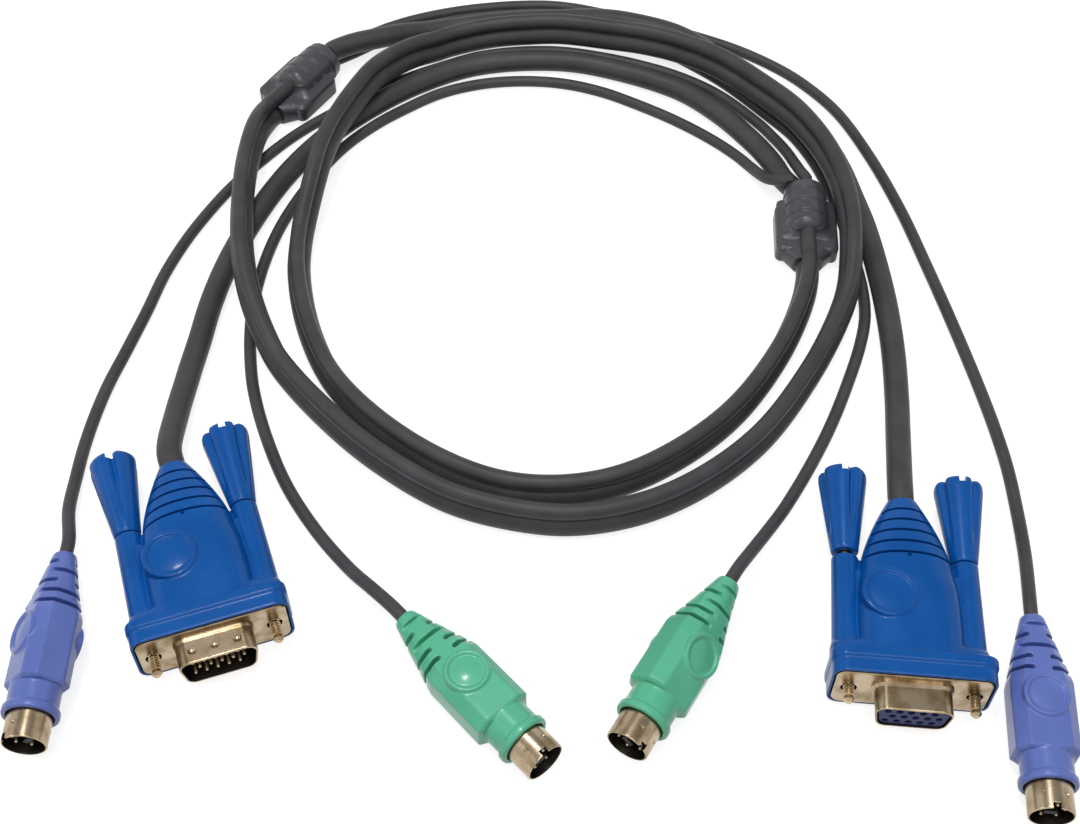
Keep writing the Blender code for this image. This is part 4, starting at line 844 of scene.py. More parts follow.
class CABLE_OT_cords(bpy.types.Operator):
    """Lay the trunk and the six cords that branch from it"""

    bl_idname = "cable.cords"
    bl_label = "Cords"

    def execute(self, context):
        settings = context.scene.cable_settings
        self.lay_trunk(settings)
        for plug, block, exits, kind, route in BRANCHES:
            start = block_exit(block, exits, kind)
            end = plug_exit(plug)
            if kind == "video":
                points = start + laid(route, VIDEO_Z) + end
                plug_pieces = [plug + "_hood", plug + "_shell"]
                self.lay(plug, points, settings.video_cord_diameter, "video_cord_" + plug, plug_pieces)
            else:
                points = start + laid(route, THIN_Z) + end
                plug_pieces = [plug + "_grip", plug + "_shell"]
                self.lay(plug, points, settings.thin_cord_diameter, "round_cord_" + plug, plug_pieces)
        return {"FINISHED"}

    def lay_trunk(self, settings):
        route = trunk_exit(BLOCK_LEFT) + laid(TRUNK_ROUTE, TRUNK_Z) + trunk_exit(BLOCK_RIGHT)[::-1]
        half_height = settings.trunk_height / 2
        top_z = CAD_BOX[1][2] - half_height
        line = even_steps(smooth_curve(route), 1.6 * MM, half_height + CORD_LIFT, top_z)
        trunk = new_object("trunk", sweep_upright("trunk", line, trunk_outline(settings)))
        trunk.data.materials.append(finish_named("cable_jacket"))
        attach(trunk, "cable")
        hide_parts("trunk_cable")

    def lay(self, plug, points, diameter, node, plug_pieces):
        cord, line = round_cord("cord_" + plug, points, diameter, finish_named("cable_jacket"))
        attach(cord, "cable")
        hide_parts(node)


# Junction blocks


def block_barrel_mesh():
    """Return the barrel: a shouldered back, ring grooves, then a rounded bulb."""
    radius = BLOCK_BARREL_R
    profile = [(-BLOCK_BACK, radius - 1.0 * MM), (-BLOCK_BACK + 0.5 * MM, radius - 0.4 * MM)]
    for along in BLOCK_RINGS:
        for step, depth in ((-0.42, 0.0), (-0.22, 0.5), (0.22, 0.5), (0.42, 0.0)):
            profile.append((along + step * MM, radius - depth * MM))
    bulb_steps = 12
    bulb_start = BLOCK_BULB_END - BLOCK_BULB_R
    for k in range(bulb_steps + 1):
        angle = math.pi / 2 * k / bulb_steps
        reach = radius - BLOCK_BULB_R + BLOCK_BULB_R * math.cos(angle)
        profile.append((bulb_start + BLOCK_BULB_R * math.sin(angle), reach))
    return turned("barrel", profile, 72)


def block_wings_mesh(low, high):
    """Return the block's flat wings, with eased edges."""
    edge = 0.7 * MM
    middle = (WING_FRONT - WING_BACK) / 2
    rings = []
    for height, inset in ((low, edge), (low + edge, 0.0), (high - edge, 0.0), (high, edge)):
        outline = rounded_rectangle(WING_LENGTH - 2 * inset, WING_WIDTH - 2 * inset, 1.6 * MM)
        rings.append(flat(height, [(x + middle, y) for x, y in outline]))
    return loft("block", rings)


def block_nose_mesh():
    """Return the block's low nose, which narrows towards the trunk."""
    middle = -BLOCK_AXIS_Z + CORD_LIFT + NOSE_HEIGHT / 2
    rings = []
    for along, width in ((BLOCK_BULB_END - 2 * MM, NOSE_WIDTH), (WING_FRONT, NOSE_WIDTH),
                         (NOSE_FRONT - 0.4 * MM, NOSE_WIDTH - 4 * MM), (NOSE_FRONT, NOSE_WIDTH - 4.8 * MM)):
        outline = oval(width, NOSE_HEIGHT, 2.8, 56)
        rings.append(across(along, [(y, z + middle) for y, z in outline]))
    return loft("nose", rings)


def block_ridge_mesh(wing_top):
    """Return the ridge that swells down from the barrel onto the wings."""
    rings = []
    steps = 8
    for k in range(steps + 1):
        share = k / steps
        swell = (1 - share) ** 2.4
        outline = rounded_rectangle((10.4 + 3.4 * swell) * MM, (8.6 + 6.2 * swell) * MM, 1.9 * MM)
        height = wing_top - 0.2 * MM + 2.6 * share * MM
        rings.append(flat(height, [(x + 2.4 * MM, y) for x, y in outline]))
    return loft("ridge", rings)


def cord_lobe_mesh():
    """Return the stretch of the trunk's thin lobe that runs over the block's nose."""
    outline = circle(LOBE_R, 40, (0.0, -BLOCK_AXIS_Z + CORD_LIFT + LOBE_HEIGHT))
    return loft("lobe", [across(BLOCK_BULB_END - MM, outline), across(NOSE_FRONT + FACE_GAP * 0.9, outline)])


class CABLE_OT_junction_blocks(bpy.types.Operator):
    """Mould the two junction blocks"""

    bl_idname = "cable.junction_blocks"
    bl_label = "Junction Blocks"

    def execute(self, context):
        wing_low = WING_LIFT - BLOCK_AXIS_Z
        wing_top = wing_low + WING_T
        for side, place in (("left", BLOCK_LEFT), ("right", BLOCK_RIGHT)):
            seat = on_table(place, BLOCK_AXIS_Z)
            block = new_object("block", block_wings_mesh(wing_low, wing_top))
            join(block, block_barrel_mesh())
            join(block, block_nose_mesh())
            join(block, block_ridge_mesh(wing_top))
            lobe = new_object("lobe", cord_lobe_mesh())
            finish_piece(lobe, "cord_lobe_" + side, seat, "cable_jacket", "cable")
            melt_edges(block, 0.17 * MM, 6, 0.6)
            finish_piece(block, "block_" + side, seat, "junction_grey", "cable", "junction_" + side)
        return {"FINISHED"}


# Video plugs


def neck_size(back, front_size):
    """Return the neck's width or height a given way behind the plate's face."""
    share = max((back - BODY_REAR) / (HOOD_LENGTH - BODY_REAR), 0.0)
    return mix(front_size, NECK_END_D, share ** NECK_CURVE)


def neck_width(back):
    """Return the neck's width a given way behind the plate's face."""
    return neck_size(back, BODY_WIDTH * 0.9)


def neck_height(back):
    """Return the neck's height a given way behind the plate's face."""
    return neck_size(back, BODY_HEIGHT * 0.92)


def hood_body_mesh(segments=80):
    """Return the hood's body and its rounding neck, from front to rear."""
    rings = []
    for back in (3.0 * MM, BODY_STRAIGHT, 18.0 * MM, 22.0 * MM):
        ease = max(0.0, (back - BODY_STRAIGHT) / (BODY_REAR - BODY_STRAIGHT)) ** 2
        width = mix(BODY_WIDTH, neck_width(BODY_REAR), ease)
        height = mix(BODY_HEIGHT, neck_height(BODY_REAR), ease)
        rings.append(across(-back, oval(width, height, 3.4, segments)))
    steps = 20
    for k in range(steps + 1):
        share = k / steps
        back = mix(BODY_REAR, HOOD_LENGTH, share)
        rings.append(across(-back, oval(neck_width(back), neck_height(back), mix(3.0, 2.1, share), segments)))
    return loft("body", rings)


def neck_slots_mesh():
    """Return the bowed slots that ring the neck, above and below."""
    bm = bmesh.new()
    steps = 14
    for i in range(NECK_SLOTS):
        back = NECK_SLOT_FIRST + i * NECK_SLOT_PITCH
        half = neck_width(back) / 2 - 0.3 * MM
        floor = neck_height(back) / 2 - 1.4 * MM
        bow = 0.96 * MM * half / (neck_width(NECK_SLOT_FIRST) / 2)
        for up in (1, -1):
            high = up * (BODY_HEIGHT / 2 + 2 * MM)
            rings = []
            for k in range(steps + 1):
                side = mix(-half, half, k / steps)
                x = bow * (side / half) ** 2 - back
                low = up * (floor - 1.8 * MM * (side / half) ** 4)
                rings.append([
                    Vector((x - 0.3 * MM, side, low)), Vector((x + 0.3 * MM, side, low)),
                    Vector((x + 0.36 * MM, side, high)), Vector((x - 0.36 * MM, side, high)),
                ])
            add_loft(bm, rings)
    return mesh_from(bm, "slots")


def collar_mesh():
    """Return the collar round the plate: a wide band, a step and a thinner rim."""
    rim_width = PLATE_WIDTH + 2 * (FIT_GAP + RIM_WALL)
    rim_height = PLATE_HEIGHT + 2 * (FIT_GAP + RIM_WALL)
    band_width = COLLAR_WIDTH - 0.9 * MM
    soft = 0.5 * MM
    rings = []
    for back, width, height in (
        (COLLAR_REAR, band_width - 2 * soft, COLLAR_HEIGHT - 2 * soft),
        (COLLAR_REAR - soft, band_width, COLLAR_HEIGHT),
        (COLLAR_STEP + soft, band_width, COLLAR_HEIGHT),
        (COLLAR_STEP, rim_width, rim_height),
        (0.2 * MM, rim_width, rim_height),
    ):
        rings.append(across(-back, rounded_rectangle(width, height, COLLAR_CORNER_R)))
    return loft("collar", rings)


def shoulder_mesh():
    """Return the shoulder that slopes from the barrels' fronts up to the collar."""
    width = 2 * SCREW_SIDE + BARREL_FRONT_D + 0.5 * MM
    rings = []
    for back, wide, high, power in (
        (SHOULDER_REAR, width - MM, BARREL_FRONT_D - MM, 3.0),
        (mix(COLLAR_REAR, SHOULDER_REAR, 0.6), width, SHOULDER_HEIGHT - MM, 3.0),
        (mix(COLLAR_REAR, SHOULDER_REAR, 0.2), width, SHOULDER_HEIGHT, 3.2),
        (COLLAR_REAR / 2, width, SHOULDER_HEIGHT, 3.2),
    ):
        rings.append(across(-back, oval(wide, high, power, 96)))
    return loft("shoulder", rings)


def web_mesh():
    """Return the web between the two barrels."""
    low = (-WEB_REAR, -SCREW_SIDE, -WEB_HEIGHT / 2)
    return box_mesh("web", low, (-COLLAR_REAR / 2, SCREW_SIDE, WEB_HEIGHT / 2))


def barrel_mesh():
    """Return one screw's barrel, with an eased rear edge."""
    edge = 0.2 * MM
    return turned("barrel", [
        (-BARREL_END, BARREL_D / 2 - edge), (-BARREL_END + edge, BARREL_D / 2),
        (-COLLAR_REAR / 2, BARREL_FRONT_D / 2)], 56)


def barrel_bore_mesh():
    """Return the open end of a barrel's bore."""
    profile = [(-BARREL_END - 2 * MM, BARREL_BORE_R), (-BARREL_END + 5 * MM, BARREL_BORE_R)]
    return turned("bore", profile, 32)


def plate_pocket_mesh():
    """Return the room for the flange plate in the collar."""
    width = PLATE_WIDTH + 2 * FIT_GAP
    height = PLATE_HEIGHT + 2 * FIT_GAP
    outline = rounded_rectangle(width, height, PLATE_CORNER_R + FIT_GAP)
    return loft("pocket", [across(-PLATE_T - FIT_GAP, outline), across(2 * MM, outline)])


def gate_mark_mesh():
    """Return the small round mark that moulding leaves on the body."""
    mark = circle(0.4 * MM, 16)
    return loft("mark", [flat(BODY_HEIGHT / 2 - 1.3 * MM, mark), flat(BODY_HEIGHT, mark)])


class CABLE_OT_video_hoods(bpy.types.Operator):
    """Mould the blue hoods of the two video plugs"""

    bl_idname = "cable.video_hoods"
    bl_label = "Video Hoods"

    def execute(self, context):
        barrels = [(0, side * SCREW_SIDE, 0) for side in SIDES.values()]
        for plug, place in VIDEO_PLUGS.items():
            hood = new_object("hood", collar_mesh())
            join(hood, hood_body_mesh())
            join(hood, shoulder_mesh())
            join(hood, web_mesh())
            for barrel in barrels:
                join(hood, barrel_mesh(), barrel)
            button = disc_mesh("button", HOOD_DISC_D, 1.5 * MM, BODY_HEIGHT / 2 + HOOD_DISC_PROUD)
            join(hood, button, (-HOOD_DISC_BACK, -HOOD_DISC_SIDE, 0))
            for barrel in barrels:
                cut(hood, barrel_bore_mesh(), barrel)
            cut(hood, plate_pocket_mesh())
            melt_edges(hood, 0.2 * MM, 4, 0.5)
            cut(hood, neck_slots_mesh())
            cut(hood, gate_mark_mesh(), (-NECK_SLOT_FIRST + 0.8 * MM, 0, 0))
            hood.data.set_sharp_from_angle(angle=math.radians(45))
            seat = on_table(place, VIDEO_AXIS_Z)
            finish_piece(hood, plug + "_hood_moulding", seat, "hood_blue", "cable", plug + "_hood")
        return {"FINISHED"}


def knob_mesh(turn, segments=128):
    """Return a thumbscrew's grip: a flared cone with four broad lobes and fading grooves."""
    rings = []
    steps = 48
    for i in range(steps + 1):
        share = i / steps
        radius = mix(BARREL_D / 2, KNOB_END_D / 2, min(share / 0.9, 1.0) ** 0.95)
        if share > 0.95:
            radius -= 0.5 * MM * ((share - 0.95) / 0.05) ** 2
        if share < 0.02:
            radius -= 0.2 * MM
        groove = min(max((share - 0.12) / 0.6, 0.0), 1.0)
        outline = []
        for k in range(segments):
            angle = 2 * math.pi * (k + 0.5) / segments
            dip = max(0.0, -math.cos(4 * (angle - turn))) ** 4
            r = radius - 1.15 * MM * groove * dip
            outline.append((r * math.cos(angle), r * math.sin(angle)))
        rings.append(across(-share * KNOB_LENGTH, outline))
    return loft("knob", rings)


def screw_mesh():
    """Return the long screw: a plain shank and a ridged thread with a chamfered tip."""
    tip = BARREL_END + FACE_GAP + SCREW_TIP
    start = tip - SCREW_THREAD
    ridge = ((0.0, SCREW_ROOT_R), (0.22, SCREW_CREST_R), (0.5, SCREW_CREST_R), (0.75, SCREW_ROOT_R))
    profile = [(-SCREW_SEAT, SCREW_SHANK_R), (start - 0.4 * MM, SCREW_SHANK_R)]
    turns = int((tip - 0.8 * MM - start) / SCREW_PITCH)
    for k in range(turns):
        for share, radius in ridge:
            profile.append((start + (k + share) * SCREW_PITCH, radius))
    profile += [(tip - 0.6 * MM, SCREW_CREST_R), (tip, SCREW_CREST_R - 0.5 * MM)]
    return turned("screw", profile, 28)


class CABLE_OT_thumbscrews(bpy.types.Operator):
    """Make the four moulded thumbscrews and their long screws"""

    bl_idname = "cable.thumbscrews"
    bl_label = "Thumbscrews"

    def execute(self, context):
        slot_low = (-KNOB_LENGTH - MM, -KNOB_SLOT_HALF, -KNOB_END_D)
        slot_high = (-KNOB_LENGTH + KNOB_SLOT_DEPTH, KNOB_SLOT_HALF, KNOB_END_D)
        bore = [(-SCREW_SEAT - FIT_GAP, SCREW_SHANK_R + FIT_GAP), (MM, SCREW_SHANK_R + FIT_GAP)]
        for plug, side, backed_out, turn in THUMBSCREWS:
            start = (-BARREL_END - FACE_GAP - backed_out, SIDES[side] * SCREW_SIDE, 0.0)
            seat = on_table(VIDEO_PLUGS[plug], VIDEO_AXIS_Z) @ Matrix.Translation(start)
            body = plug + "_thumbscrew_" + side
            knob = new_object("knob", knob_mesh(math.radians(turn)))
            cut(knob, box_mesh("slot", slot_low, slot_high))
            cut(knob, turned("bore", bore, 32))
            bevel = knob.modifiers.new("ease", "BEVEL")
            bevel.width = 0.15 * MM
            bevel.segments = 2
            bevel.angle_limit = math.radians(50)
            keep_shape(knob)
            even_shading(knob, 40.0)
            finish_piece(knob, plug + "_grip_knob_" + side, seat, "hood_blue", body, plug + "_knob_" + side)
            screw = new_object("screw", screw_mesh())
            finish_piece(screw, plug + "_long_screw_" + side, seat, "screw_brass", body,
                         plug + "_screw_" + side)
        return {"FINISHED"}


def contact_places():
    """Return the fifteen contacts' side and height, in three rows of five."""
    places = []
    for row in (-1, 0, 1):
        shift = CONTACT_PITCH / 4 * (1 if row == 0 else -1)
        for k in range(5):
            places.append(((k - 2) * CONTACT_PITCH + shift, row * CONTACT_ROW_PITCH))
    return places


def rods_mesh(name, places, profile, segments):
    """Return equal rods along the X axis, turned from one profile about each place."""
    bm = bmesh.new()
    for place in places:
        add_loft(bm, [across(along, circle(radius, segments, place)) for along, radius in profile])
    return mesh_from(bm, name)


def flange_mesh():
    """Return the flange plate, with an eased front edge."""
    outline = rounded_rectangle(PLATE_WIDTH, PLATE_HEIGHT, PLATE_CORNER_R, 12)
    eased = rounded_rectangle(
        PLATE_WIDTH - 2 * PLATE_EDGE, PLATE_HEIGHT - 2 * PLATE_EDGE, PLATE_CORNER_R - PLATE_EDGE, 12)
    return loft("shell", [across(-PLATE_T, outline), across(-PLATE_EDGE, outline), across(0.0, eased)])


def drawn_shell_mesh(width, height, step):
    """Return the solid form of the shell, with a step at its foot and an eased rim."""
    tip = 0.25 * MM
    rings = []
    for along, grow in (
        (-PLATE_T / 2, step), (0.45 * MM, step), (0.75 * MM, step * 0.4), (1.0 * MM, 0.0),
        (SHELL_REACH - tip, 0.0), (SHELL_REACH - tip * 0.3, -tip * 0.3), (SHELL_REACH, -tip),
    ):
        rings.append(across(along, tapered_outline(width, height, grow, 12)))
    return loft("reach", rings)


def shell_opening_mesh(width, height):
    """Return the room inside the shell."""
    outline = tapered_outline(width, height, -SHELL_WALL, 12)
    return loft("opening", [across(-2 * MM, outline), across(SHELL_REACH + 2 * MM, outline)])


def shell_dimple_mesh(height):
    """Return one of the dimples in the male shell's upper face."""
    top = height / 2
    rings = []
    for rise, radius in ((-0.4, 0.35), (-0.25, 0.65), (0.1, 1.0)):
        rings.append(flat(top + rise * MM, circle(radius * MM, 24)))
    return loft("dimple", rings)


class CABLE_OT_video_shells(bpy.types.Operator):
    """Make the plated flange, shell and contacts of the two video plugs"""

    bl_idname = "cable.video_shells"
    bl_label = "Video Shells"

    def execute(self, context):
        self.shell("male", MALE_SHELL_SIZE, 0.3 * MM, (-4.6 * MM, 0.0, 4.6 * MM))
        self.pins("male", MALE_SHELL_SIZE, 0.9 * MM)
        self.shell("female", FEMALE_SHELL_SIZE, 0.6 * MM, ())
        self.sockets("female", FEMALE_SHELL_SIZE, 5.6 * MM)
        return {"FINISHED"}

    def shell(self, plug, size, step, dimples):
        """Make the flange plate with its drawn shell."""
        shell = new_object("shell", flange_mesh())
        join(shell, drawn_shell_mesh(*size, step))
        cut(shell, shell_opening_mesh(*size))
        hole = [(-2 * MM, PLATE_HOLE_D / 2), (2 * MM, PLATE_HOLE_D / 2)]
        for side in SIDES.values():
            cut(shell, turned("hole", hole, 48), (0, side * SCREW_SIDE, 0))
        for side in dimples:
            cut(shell, shell_dimple_mesh(size[1]), (3.3 * MM, side, 0))
        even_shading(shell)
        # The shell's inner faces ahead of the plate get painted shade, a darker metal
        paint_shade_inside(shell, MM)
        seat = on_table(VIDEO_PLUGS[plug], VIDEO_AXIS_Z)
        finish_piece(shell, plug + "_flange_shell", seat, "shell_nickel", "cable", plug + "_shell")

    def block(self, size, face):
        """Return a contact block that fills the shell up to its face."""
        edge = 0.2 * MM
        inset = -SHELL_WALL - FIT_GAP
        return new_object("insert", loft("insert", [
            across(-INSERT_REAR, tapered_outline(*size, inset, 10)),
            across(face - edge, tapered_outline(*size, inset, 10)),
            across(face, tapered_outline(*size, inset - edge, 10))]))

    def pins(self, plug, size, face):
        """Make the contact block with its pins."""
        seat = on_table(VIDEO_PLUGS[plug], VIDEO_AXIS_Z)
        block = self.block(size, face)
        profile = [(face - MM, 0.4 * MM), (4.7 * MM, 0.4 * MM), (4.95 * MM, 0.28 * MM), (5.05 * MM, 0.1 * MM)]
        pins = new_object("pins", rods_mesh("pins", contact_places(), profile, 14))
        finish_piece(pins, plug + "_contact_pins", seat, "contact_gold", "cable")
        even_shading(block)
        finish_piece(block, plug + "_contact_block", seat, "insert_black", "cable", plug + "_insert")

    def sockets(self, plug, size, face):
        """Make the contact block with its sockets."""
        block = self.block(size, face)
        profile = [(face - 3 * MM, 0.6 * MM), (face - 0.25 * MM, 0.6 * MM), (face + 0.3 * MM, 1.0 * MM)]
        cut(block, rods_mesh("sockets", contact_places(), profile, 18))
        even_shading(block)
        seat = on_table(VIDEO_PLUGS[plug], VIDEO_AXIS_Z)
        finish_piece(block, plug + "_contact_block", seat, "insert_blue", "cable", plug + "_insert")


# Round plugs


def facet_ring(width, height, chamfer, roundness, ease=0.35 * MM, between=6):
    """Return a chamfered rectangle with eased corners, blended towards an oval by its roundness."""
    w = width / 2
    h = height / 2
    corners = [(w, h - chamfer), (w - chamfer, h), (chamfer - w, h), (-w, h - chamfer),
               (-w, chamfer - h), (chamfer - w, -h), (w - chamfer, -h), (w, chamfer - h)]
    eased = round_corners(corners, ease * 2, 3)
    points = []
    for i, (x, y) in enumerate(eased):
        nx, ny = eased[(i + 1) % len(eased)]
        steps = between if i % 4 == 3 else 1
        for k in range(steps):
            points.append((mix(x, nx, k / steps), mix(y, ny, k / steps)))
    blended = []
    for x, y in points:
        reach = math.hypot(x / w, y / h)
        blended.append((mix(x, x / reach, roundness), mix(y, y / reach, roundness)))
    return blended


def grip_rings():
    """Return the round plug's faceted grip running into its tapering boot."""
    edge = 0.6 * MM
    rings = [
        across(-GRIP_FRONT, facet_ring(GRIP_WIDTH - 2 * edge, GRIP_HEIGHT - 2 * edge, GRIP_CHAMFER, 0.0)),
        across(-GRIP_FRONT - edge, facet_ring(GRIP_WIDTH, GRIP_HEIGHT, GRIP_CHAMFER, 0.0)),
        across(-GRIP_REAR, facet_ring(GRIP_WIDTH, GRIP_HEIGHT, GRIP_CHAMFER, 0.1)),
    ]
    steps = 14
    for k in range(1, steps + 1):
        share = k / steps
        width = mix(GRIP_WIDTH, BOOT_END_D, share ** 1.1)
        height = mix(GRIP_HEIGHT, BOOT_END_D, share ** 1.1)
        back = mix(GRIP_REAR, BOOT_END - edge, share)
        chamfer = min(GRIP_CHAMFER, height * 0.3)
        rings.append(across(-back, facet_ring(width, height, chamfer, mix(0.1, 1.0, share), 0.2 * MM)))
    tip = BOOT_END_D - edge
    rings.append(across(-BOOT_END, facet_ring(tip, tip, tip * 0.3, 1.0, 0.2 * MM)))
    return rings


def grip_collar_mesh():
    """Return the round collar ahead of the grip, with its lip."""
    lip_rear = -LIP_FRONT - LIP_LENGTH
    return turned("collar", [
        (-GRIP_FRONT - 2 * MM, GRIP_COLLAR_R), (lip_rear - LIP_EDGE, GRIP_COLLAR_R),
        (lip_rear, LIP_R), (-LIP_FRONT - LIP_EDGE, LIP_R), (-LIP_FRONT, LIP_R - LIP_EDGE)], 80)


def boot_slots_mesh():
    """Return the staggered slots of the boot: across the faces, then in from the sides."""
    bm = bmesh.new()
    far = GRIP_WIDTH
    spine = 1.7 * MM
    half = 0.48 * MM
    for back in (29.5 * MM, 32.3 * MM, 37.9 * MM):
        add_box(bm, (-back - half, spine, -far), (-back + half, far, far))
        add_box(bm, (-back - half, -far, -far), (-back + half, -spine, far))
    for back in (35.1 * MM, 40.4 * MM):
        add_box(bm, (-back - half, -far, spine), (-back + half, far, far))
        add_box(bm, (-back - half, -far, -far), (-back + half, far, -spine))
    return mesh_from(bm, "slots")


def tube_mesh():
    """Return the plated tube, with an eased rim."""
    return turned("tube", [
        (ROUND_SHELL_REAR, ROUND_SHELL_IN_R), (ROUND_SHELL_REAR, ROUND_SHELL_R),
        (-0.25 * MM, ROUND_SHELL_R), (-0.08 * MM, ROUND_SHELL_R - 0.06 * MM), (0.0, ROUND_SHELL_R - 0.2 * MM),
        (0.0, ROUND_SHELL_IN_R + 0.1 * MM), (-0.2 * MM, ROUND_SHELL_IN_R)], 72, closed=True)


def tube_dimple_mesh(degrees):
    """Return one of the dimples pressed into the tube."""
    angle = math.radians(degrees)
    out = Vector((0.0, math.cos(angle), math.sin(angle))).to_track_quat("Z", "Y").to_matrix()
    middle = Vector((-ROUND_DIMPLE_BACK, 0, 0))
    rings = []
    for height, radius in ((4.25 * MM, 0.25 * MM), (4.8 * MM, 0.8 * MM)):
        rings.append([middle + out @ point for point in flat(height, circle(radius, 16))])
    return loft("dimple", rings)


def round_contact_places():
    """Return the six pins' side and height about the round plug's axis."""
    places = []
    for degrees in (20, 75, 105, 160, -55, -125):
        angle = math.radians(degrees)
        places.append((ROUND_CONTACT_R * math.cos(angle), ROUND_CONTACT_R * math.sin(angle)))
    return places


class CABLE_OT_round_plugs(bpy.types.Operator):
    """Make the four round plugs: grip and boot, plated tube, contact block and pins"""

    bl_idname = "cable.round_plugs"
    bl_label = "Round Plugs"

    def execute(self, context):
        for plug, place in ROUND_PLUGS.items():
            seat = round_plug_place(place)
            self.grip(plug, seat)
            self.tube(plug, seat)
            self.contacts(plug, seat)
        return {"FINISHED"}

    def grip(self, plug, seat):
        """Mould the coloured grip and boot."""
        grip = new_object("grip", loft("grip", grip_rings()))
        join(grip, grip_collar_mesh())
        for turn in (0.0, math.pi):
            button = disc_mesh("button", ROUND_DISC_D, 2 * MM, GRIP_HEIGHT / 2 + ROUND_DISC_PROUD)
            join(grip, button, (-ROUND_DISC_BACK, 0, 0), turn)
        cut(grip, boot_slots_mesh())
        bore_r = ROUND_SHELL_R + FIT_GAP
        cut(grip, turned("bore", [(ROUND_SHELL_REAR - FIT_GAP, bore_r), (0.0, bore_r)], 80))
        melt_edges(grip, 0.19 * MM, 4, 0.55)
        finish = "plug_" + plug.split("_")[0]
        finish_piece(grip, plug + "_grip_moulding", seat, finish, "cable", plug + "_grip")

    def tube(self, plug, seat):
        """Make the plated tube with its rim notch and dimples."""
        tube = new_object("tube", tube_mesh())
        cut(tube, box_mesh("notch", (-1.3 * MM, -0.75 * MM, 0.0), (MM, 0.75 * MM, 2 * ROUND_SHELL_R)))
        for degrees in (60.0, 120.0, 240.0, 300.0):
            cut(tube, tube_dimple_mesh(degrees))
        even_shading(tube)
        # The tube's inner faces ahead of the lip get painted shade, a darker metal
        paint_shade_inside(tube, -LIP_FRONT)
        finish_piece(tube, plug + "_tube", seat, "shell_nickel", "cable", plug + "_shell")

    def contacts(self, plug, seat):
        """Make the contact block with its key, and the six pins."""
        edge = 0.2 * MM
        block = new_object("insert", turned("insert", [
            (ROUND_SHELL_REAR, ROUND_BLOCK_R), (-ROUND_BLOCK_FACE - edge, ROUND_BLOCK_R),
            (-ROUND_BLOCK_FACE, ROUND_BLOCK_R - edge)], 56))
        key_low = (ROUND_SHELL_REAR + MM, -1.2 * MM, -1.3 * MM)
        join(block, box_mesh("key", key_low, (-1.2 * MM, 1.2 * MM, 0.0)))
        even_shading(block)
        finish_piece(block, plug + "_contact_block", seat, "insert_black", "cable", plug + "_insert")
        pin_r = 0.45 * MM
        profile = [(-5.8 * MM, pin_r), (-1.7 * MM, pin_r), (-1.35 * MM, 0.32 * MM), (-1.2 * MM, 0.12 * MM)]
        pins = new_object("pins", rods_mesh("pins", round_contact_places(), profile, 16))
        finish_piece(pins, plug + "_contact_pins", seat, "contact_gold", "cable")


# Stage


def seen_not_lighting(nodes, links):
    """Return a factor that is one for camera, glossy and transmission rays."""
    rays = nodes.new("ShaderNodeLightPath")
    factor = rays.outputs["Is Camera Ray"]
    for kind in ("Is Glossy Ray", "Is Transmission Ray"):
        either = nodes.new("ShaderNodeMath")
        either.operation = "MAXIMUM"
        links.new(factor, either.inputs[0])
        links.new(rays.outputs[kind], either.inputs[1])
        factor = either.outputs[0]
    return factor


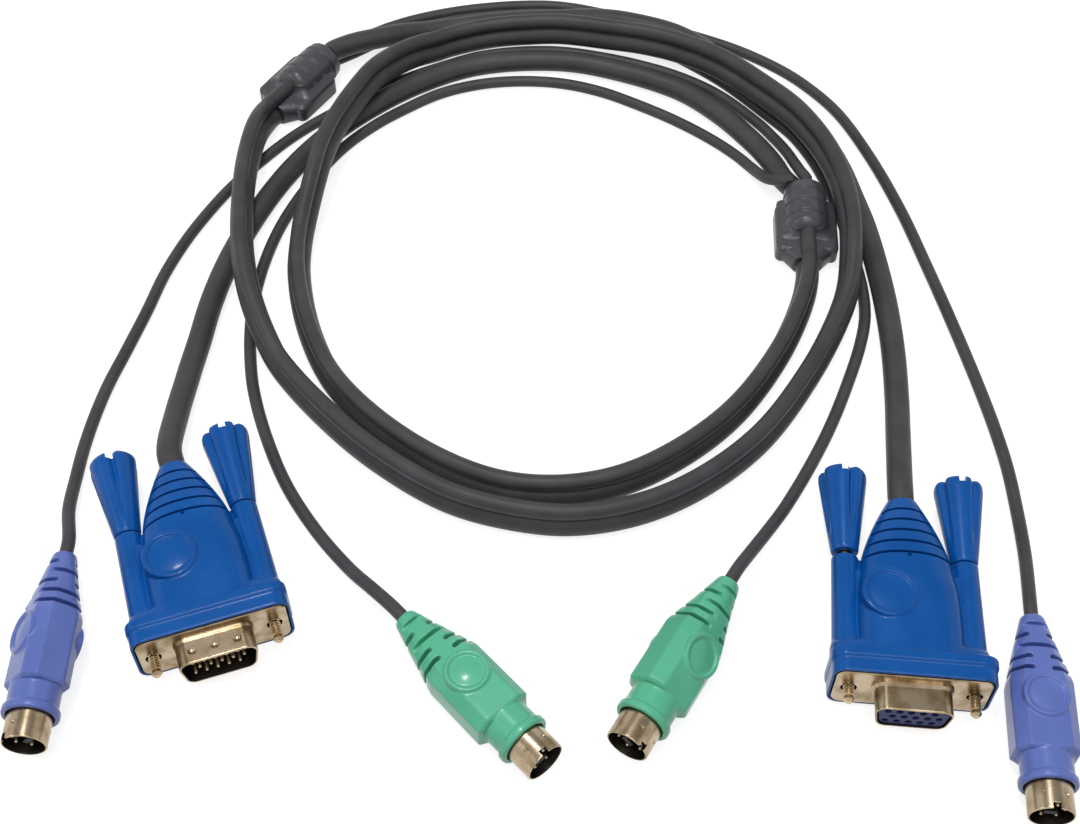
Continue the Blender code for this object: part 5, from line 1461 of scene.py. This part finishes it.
class CABLE_OT_stage(bpy.types.Operator):
    """Set up the white table, the soft lamps and the pale surroundings"""

    bl_idname = "cable.stage"
    bl_label = "Stage"

    def execute(self, context):
        scene = context.scene
        scene.view_settings.view_transform = "Standard"
        floor = new_object("floor", self.table_with_cove())
        floor.data.materials.append(self.table_white())
        world = scene.world or bpy.data.worlds.new("world")
        scene.world = world
        world.use_nodes = True
        ambient = world.node_tree.nodes["Background"]
        ambient.inputs["Color"].default_value = (0.96, 0.98, 1.0, 1.0)
        ambient.inputs["Strength"].default_value = 0.4
        self.lamp("overhead_lamp", (0.0, -0.3, 0.9), 0.6, 3.6)
        self.lamp("back_lamp", (-0.09, 0.134, 0.9), 0.1, 2.0)
        self.lamp("side_lamp", (-0.7, -0.1, 0.55), 0.3, 0.8)
        return {"FINISHED"}

    def table_with_cove(self):
        """Return the flat table, which curves up into a wall all round."""
        flat_radius = 2.4
        cove = 0.8
        wall_top = 2.6
        rings = []
        steps = 12
        for k in range(steps + 1):
            angle = math.pi / 2 * k / steps
            height = cove * (1 - math.cos(angle)) if k else -0.02 * MM
            rings.append(flat(height, circle(flat_radius + cove * math.sin(angle), 96)))
        rings.append(flat(wall_top, circle(flat_radius + cove, 96)))
        return loft("floor", rings, lid=False)

    def table_white(self):
        """Return a matt white that looks white to the camera and still takes shadows."""
        white = bpy.data.materials.new("white_table")
        shader = shader_of(white)
        shader.inputs["Base Color"].default_value = (0.4, 0.4, 0.4, 1.0)
        shader.inputs["Roughness"].default_value = 0.9
        shader.inputs["Specular IOR Level"].default_value = 0.0
        shader.inputs["Emission Color"].default_value = (1.0, 1.0, 1.0, 1.0)
        nodes = white.node_tree.nodes
        links = white.node_tree.links
        lift = nodes.new("ShaderNodeMath")
        lift.operation = "MULTIPLY"
        lift.inputs[1].default_value = 0.8
        links.new(seen_not_lighting(nodes, links), lift.inputs[0])
        links.new(lift.outputs[0], shader.inputs["Emission Strength"])
        return white

    def lamp(self, name, place, size, power):
        """Hang a square soft lamp that faces the middle of the table."""
        data = bpy.data.lights.new(name, "AREA")
        data.size = size
        data.energy = power
        lamp = new_object(name, data)
        lamp.location = place
        lamp.rotation_euler = (-Vector(place)).to_track_quat("-Z", "Y").to_euler()


class CABLE_PT_panel(bpy.types.Panel):
    """Lists the steps that build the cable"""

    bl_label = "Computer Cable"
    bl_idname = "CABLE_PT_panel"
    bl_space_type = "VIEW_3D"
    bl_region_type = "UI"
    bl_category = "Cable"

    def draw(self, context):
        settings = context.scene.cable_settings
        for name in settings.bl_rna.properties.keys():
            if name not in {"rna_type", "name"}:
                self.layout.prop(settings, name)
        for operator in STEPS:
            self.layout.operator(operator.bl_idname)


STEPS = (
    CABLE_OT_camera, CABLE_OT_cords, CABLE_OT_junction_blocks, CABLE_OT_video_hoods, CABLE_OT_thumbscrews,
    CABLE_OT_video_shells, CABLE_OT_round_plugs, CABLE_OT_stage,
)


def register():
    """Register the settings, the steps and the panel."""
    bpy.utils.register_class(CableSettings)
    for operator in STEPS:
        bpy.utils.register_class(operator)
    bpy.utils.register_class(CABLE_PT_panel)
    bpy.types.Scene.cable_settings = bpy.props.PointerProperty(type=CableSettings)


def unregister():
    """Undo register."""
    del bpy.types.Scene.cable_settings
    bpy.utils.unregister_class(CABLE_PT_panel)
    for operator in reversed(STEPS):
        bpy.utils.unregister_class(operator)
    bpy.utils.unregister_class(CableSettings)


def main():
    """Build the cable step by step."""
    register()
    bpy.ops.cable.camera()
    bpy.ops.cable.cords()
    bpy.ops.cable.junction_blocks()
    bpy.ops.cable.video_hoods()
    bpy.ops.cable.thumbscrews()
    bpy.ops.cable.video_shells()
    bpy.ops.cable.round_plugs()
    bpy.ops.cable.stage()


if __name__ == "__main__":
    main()
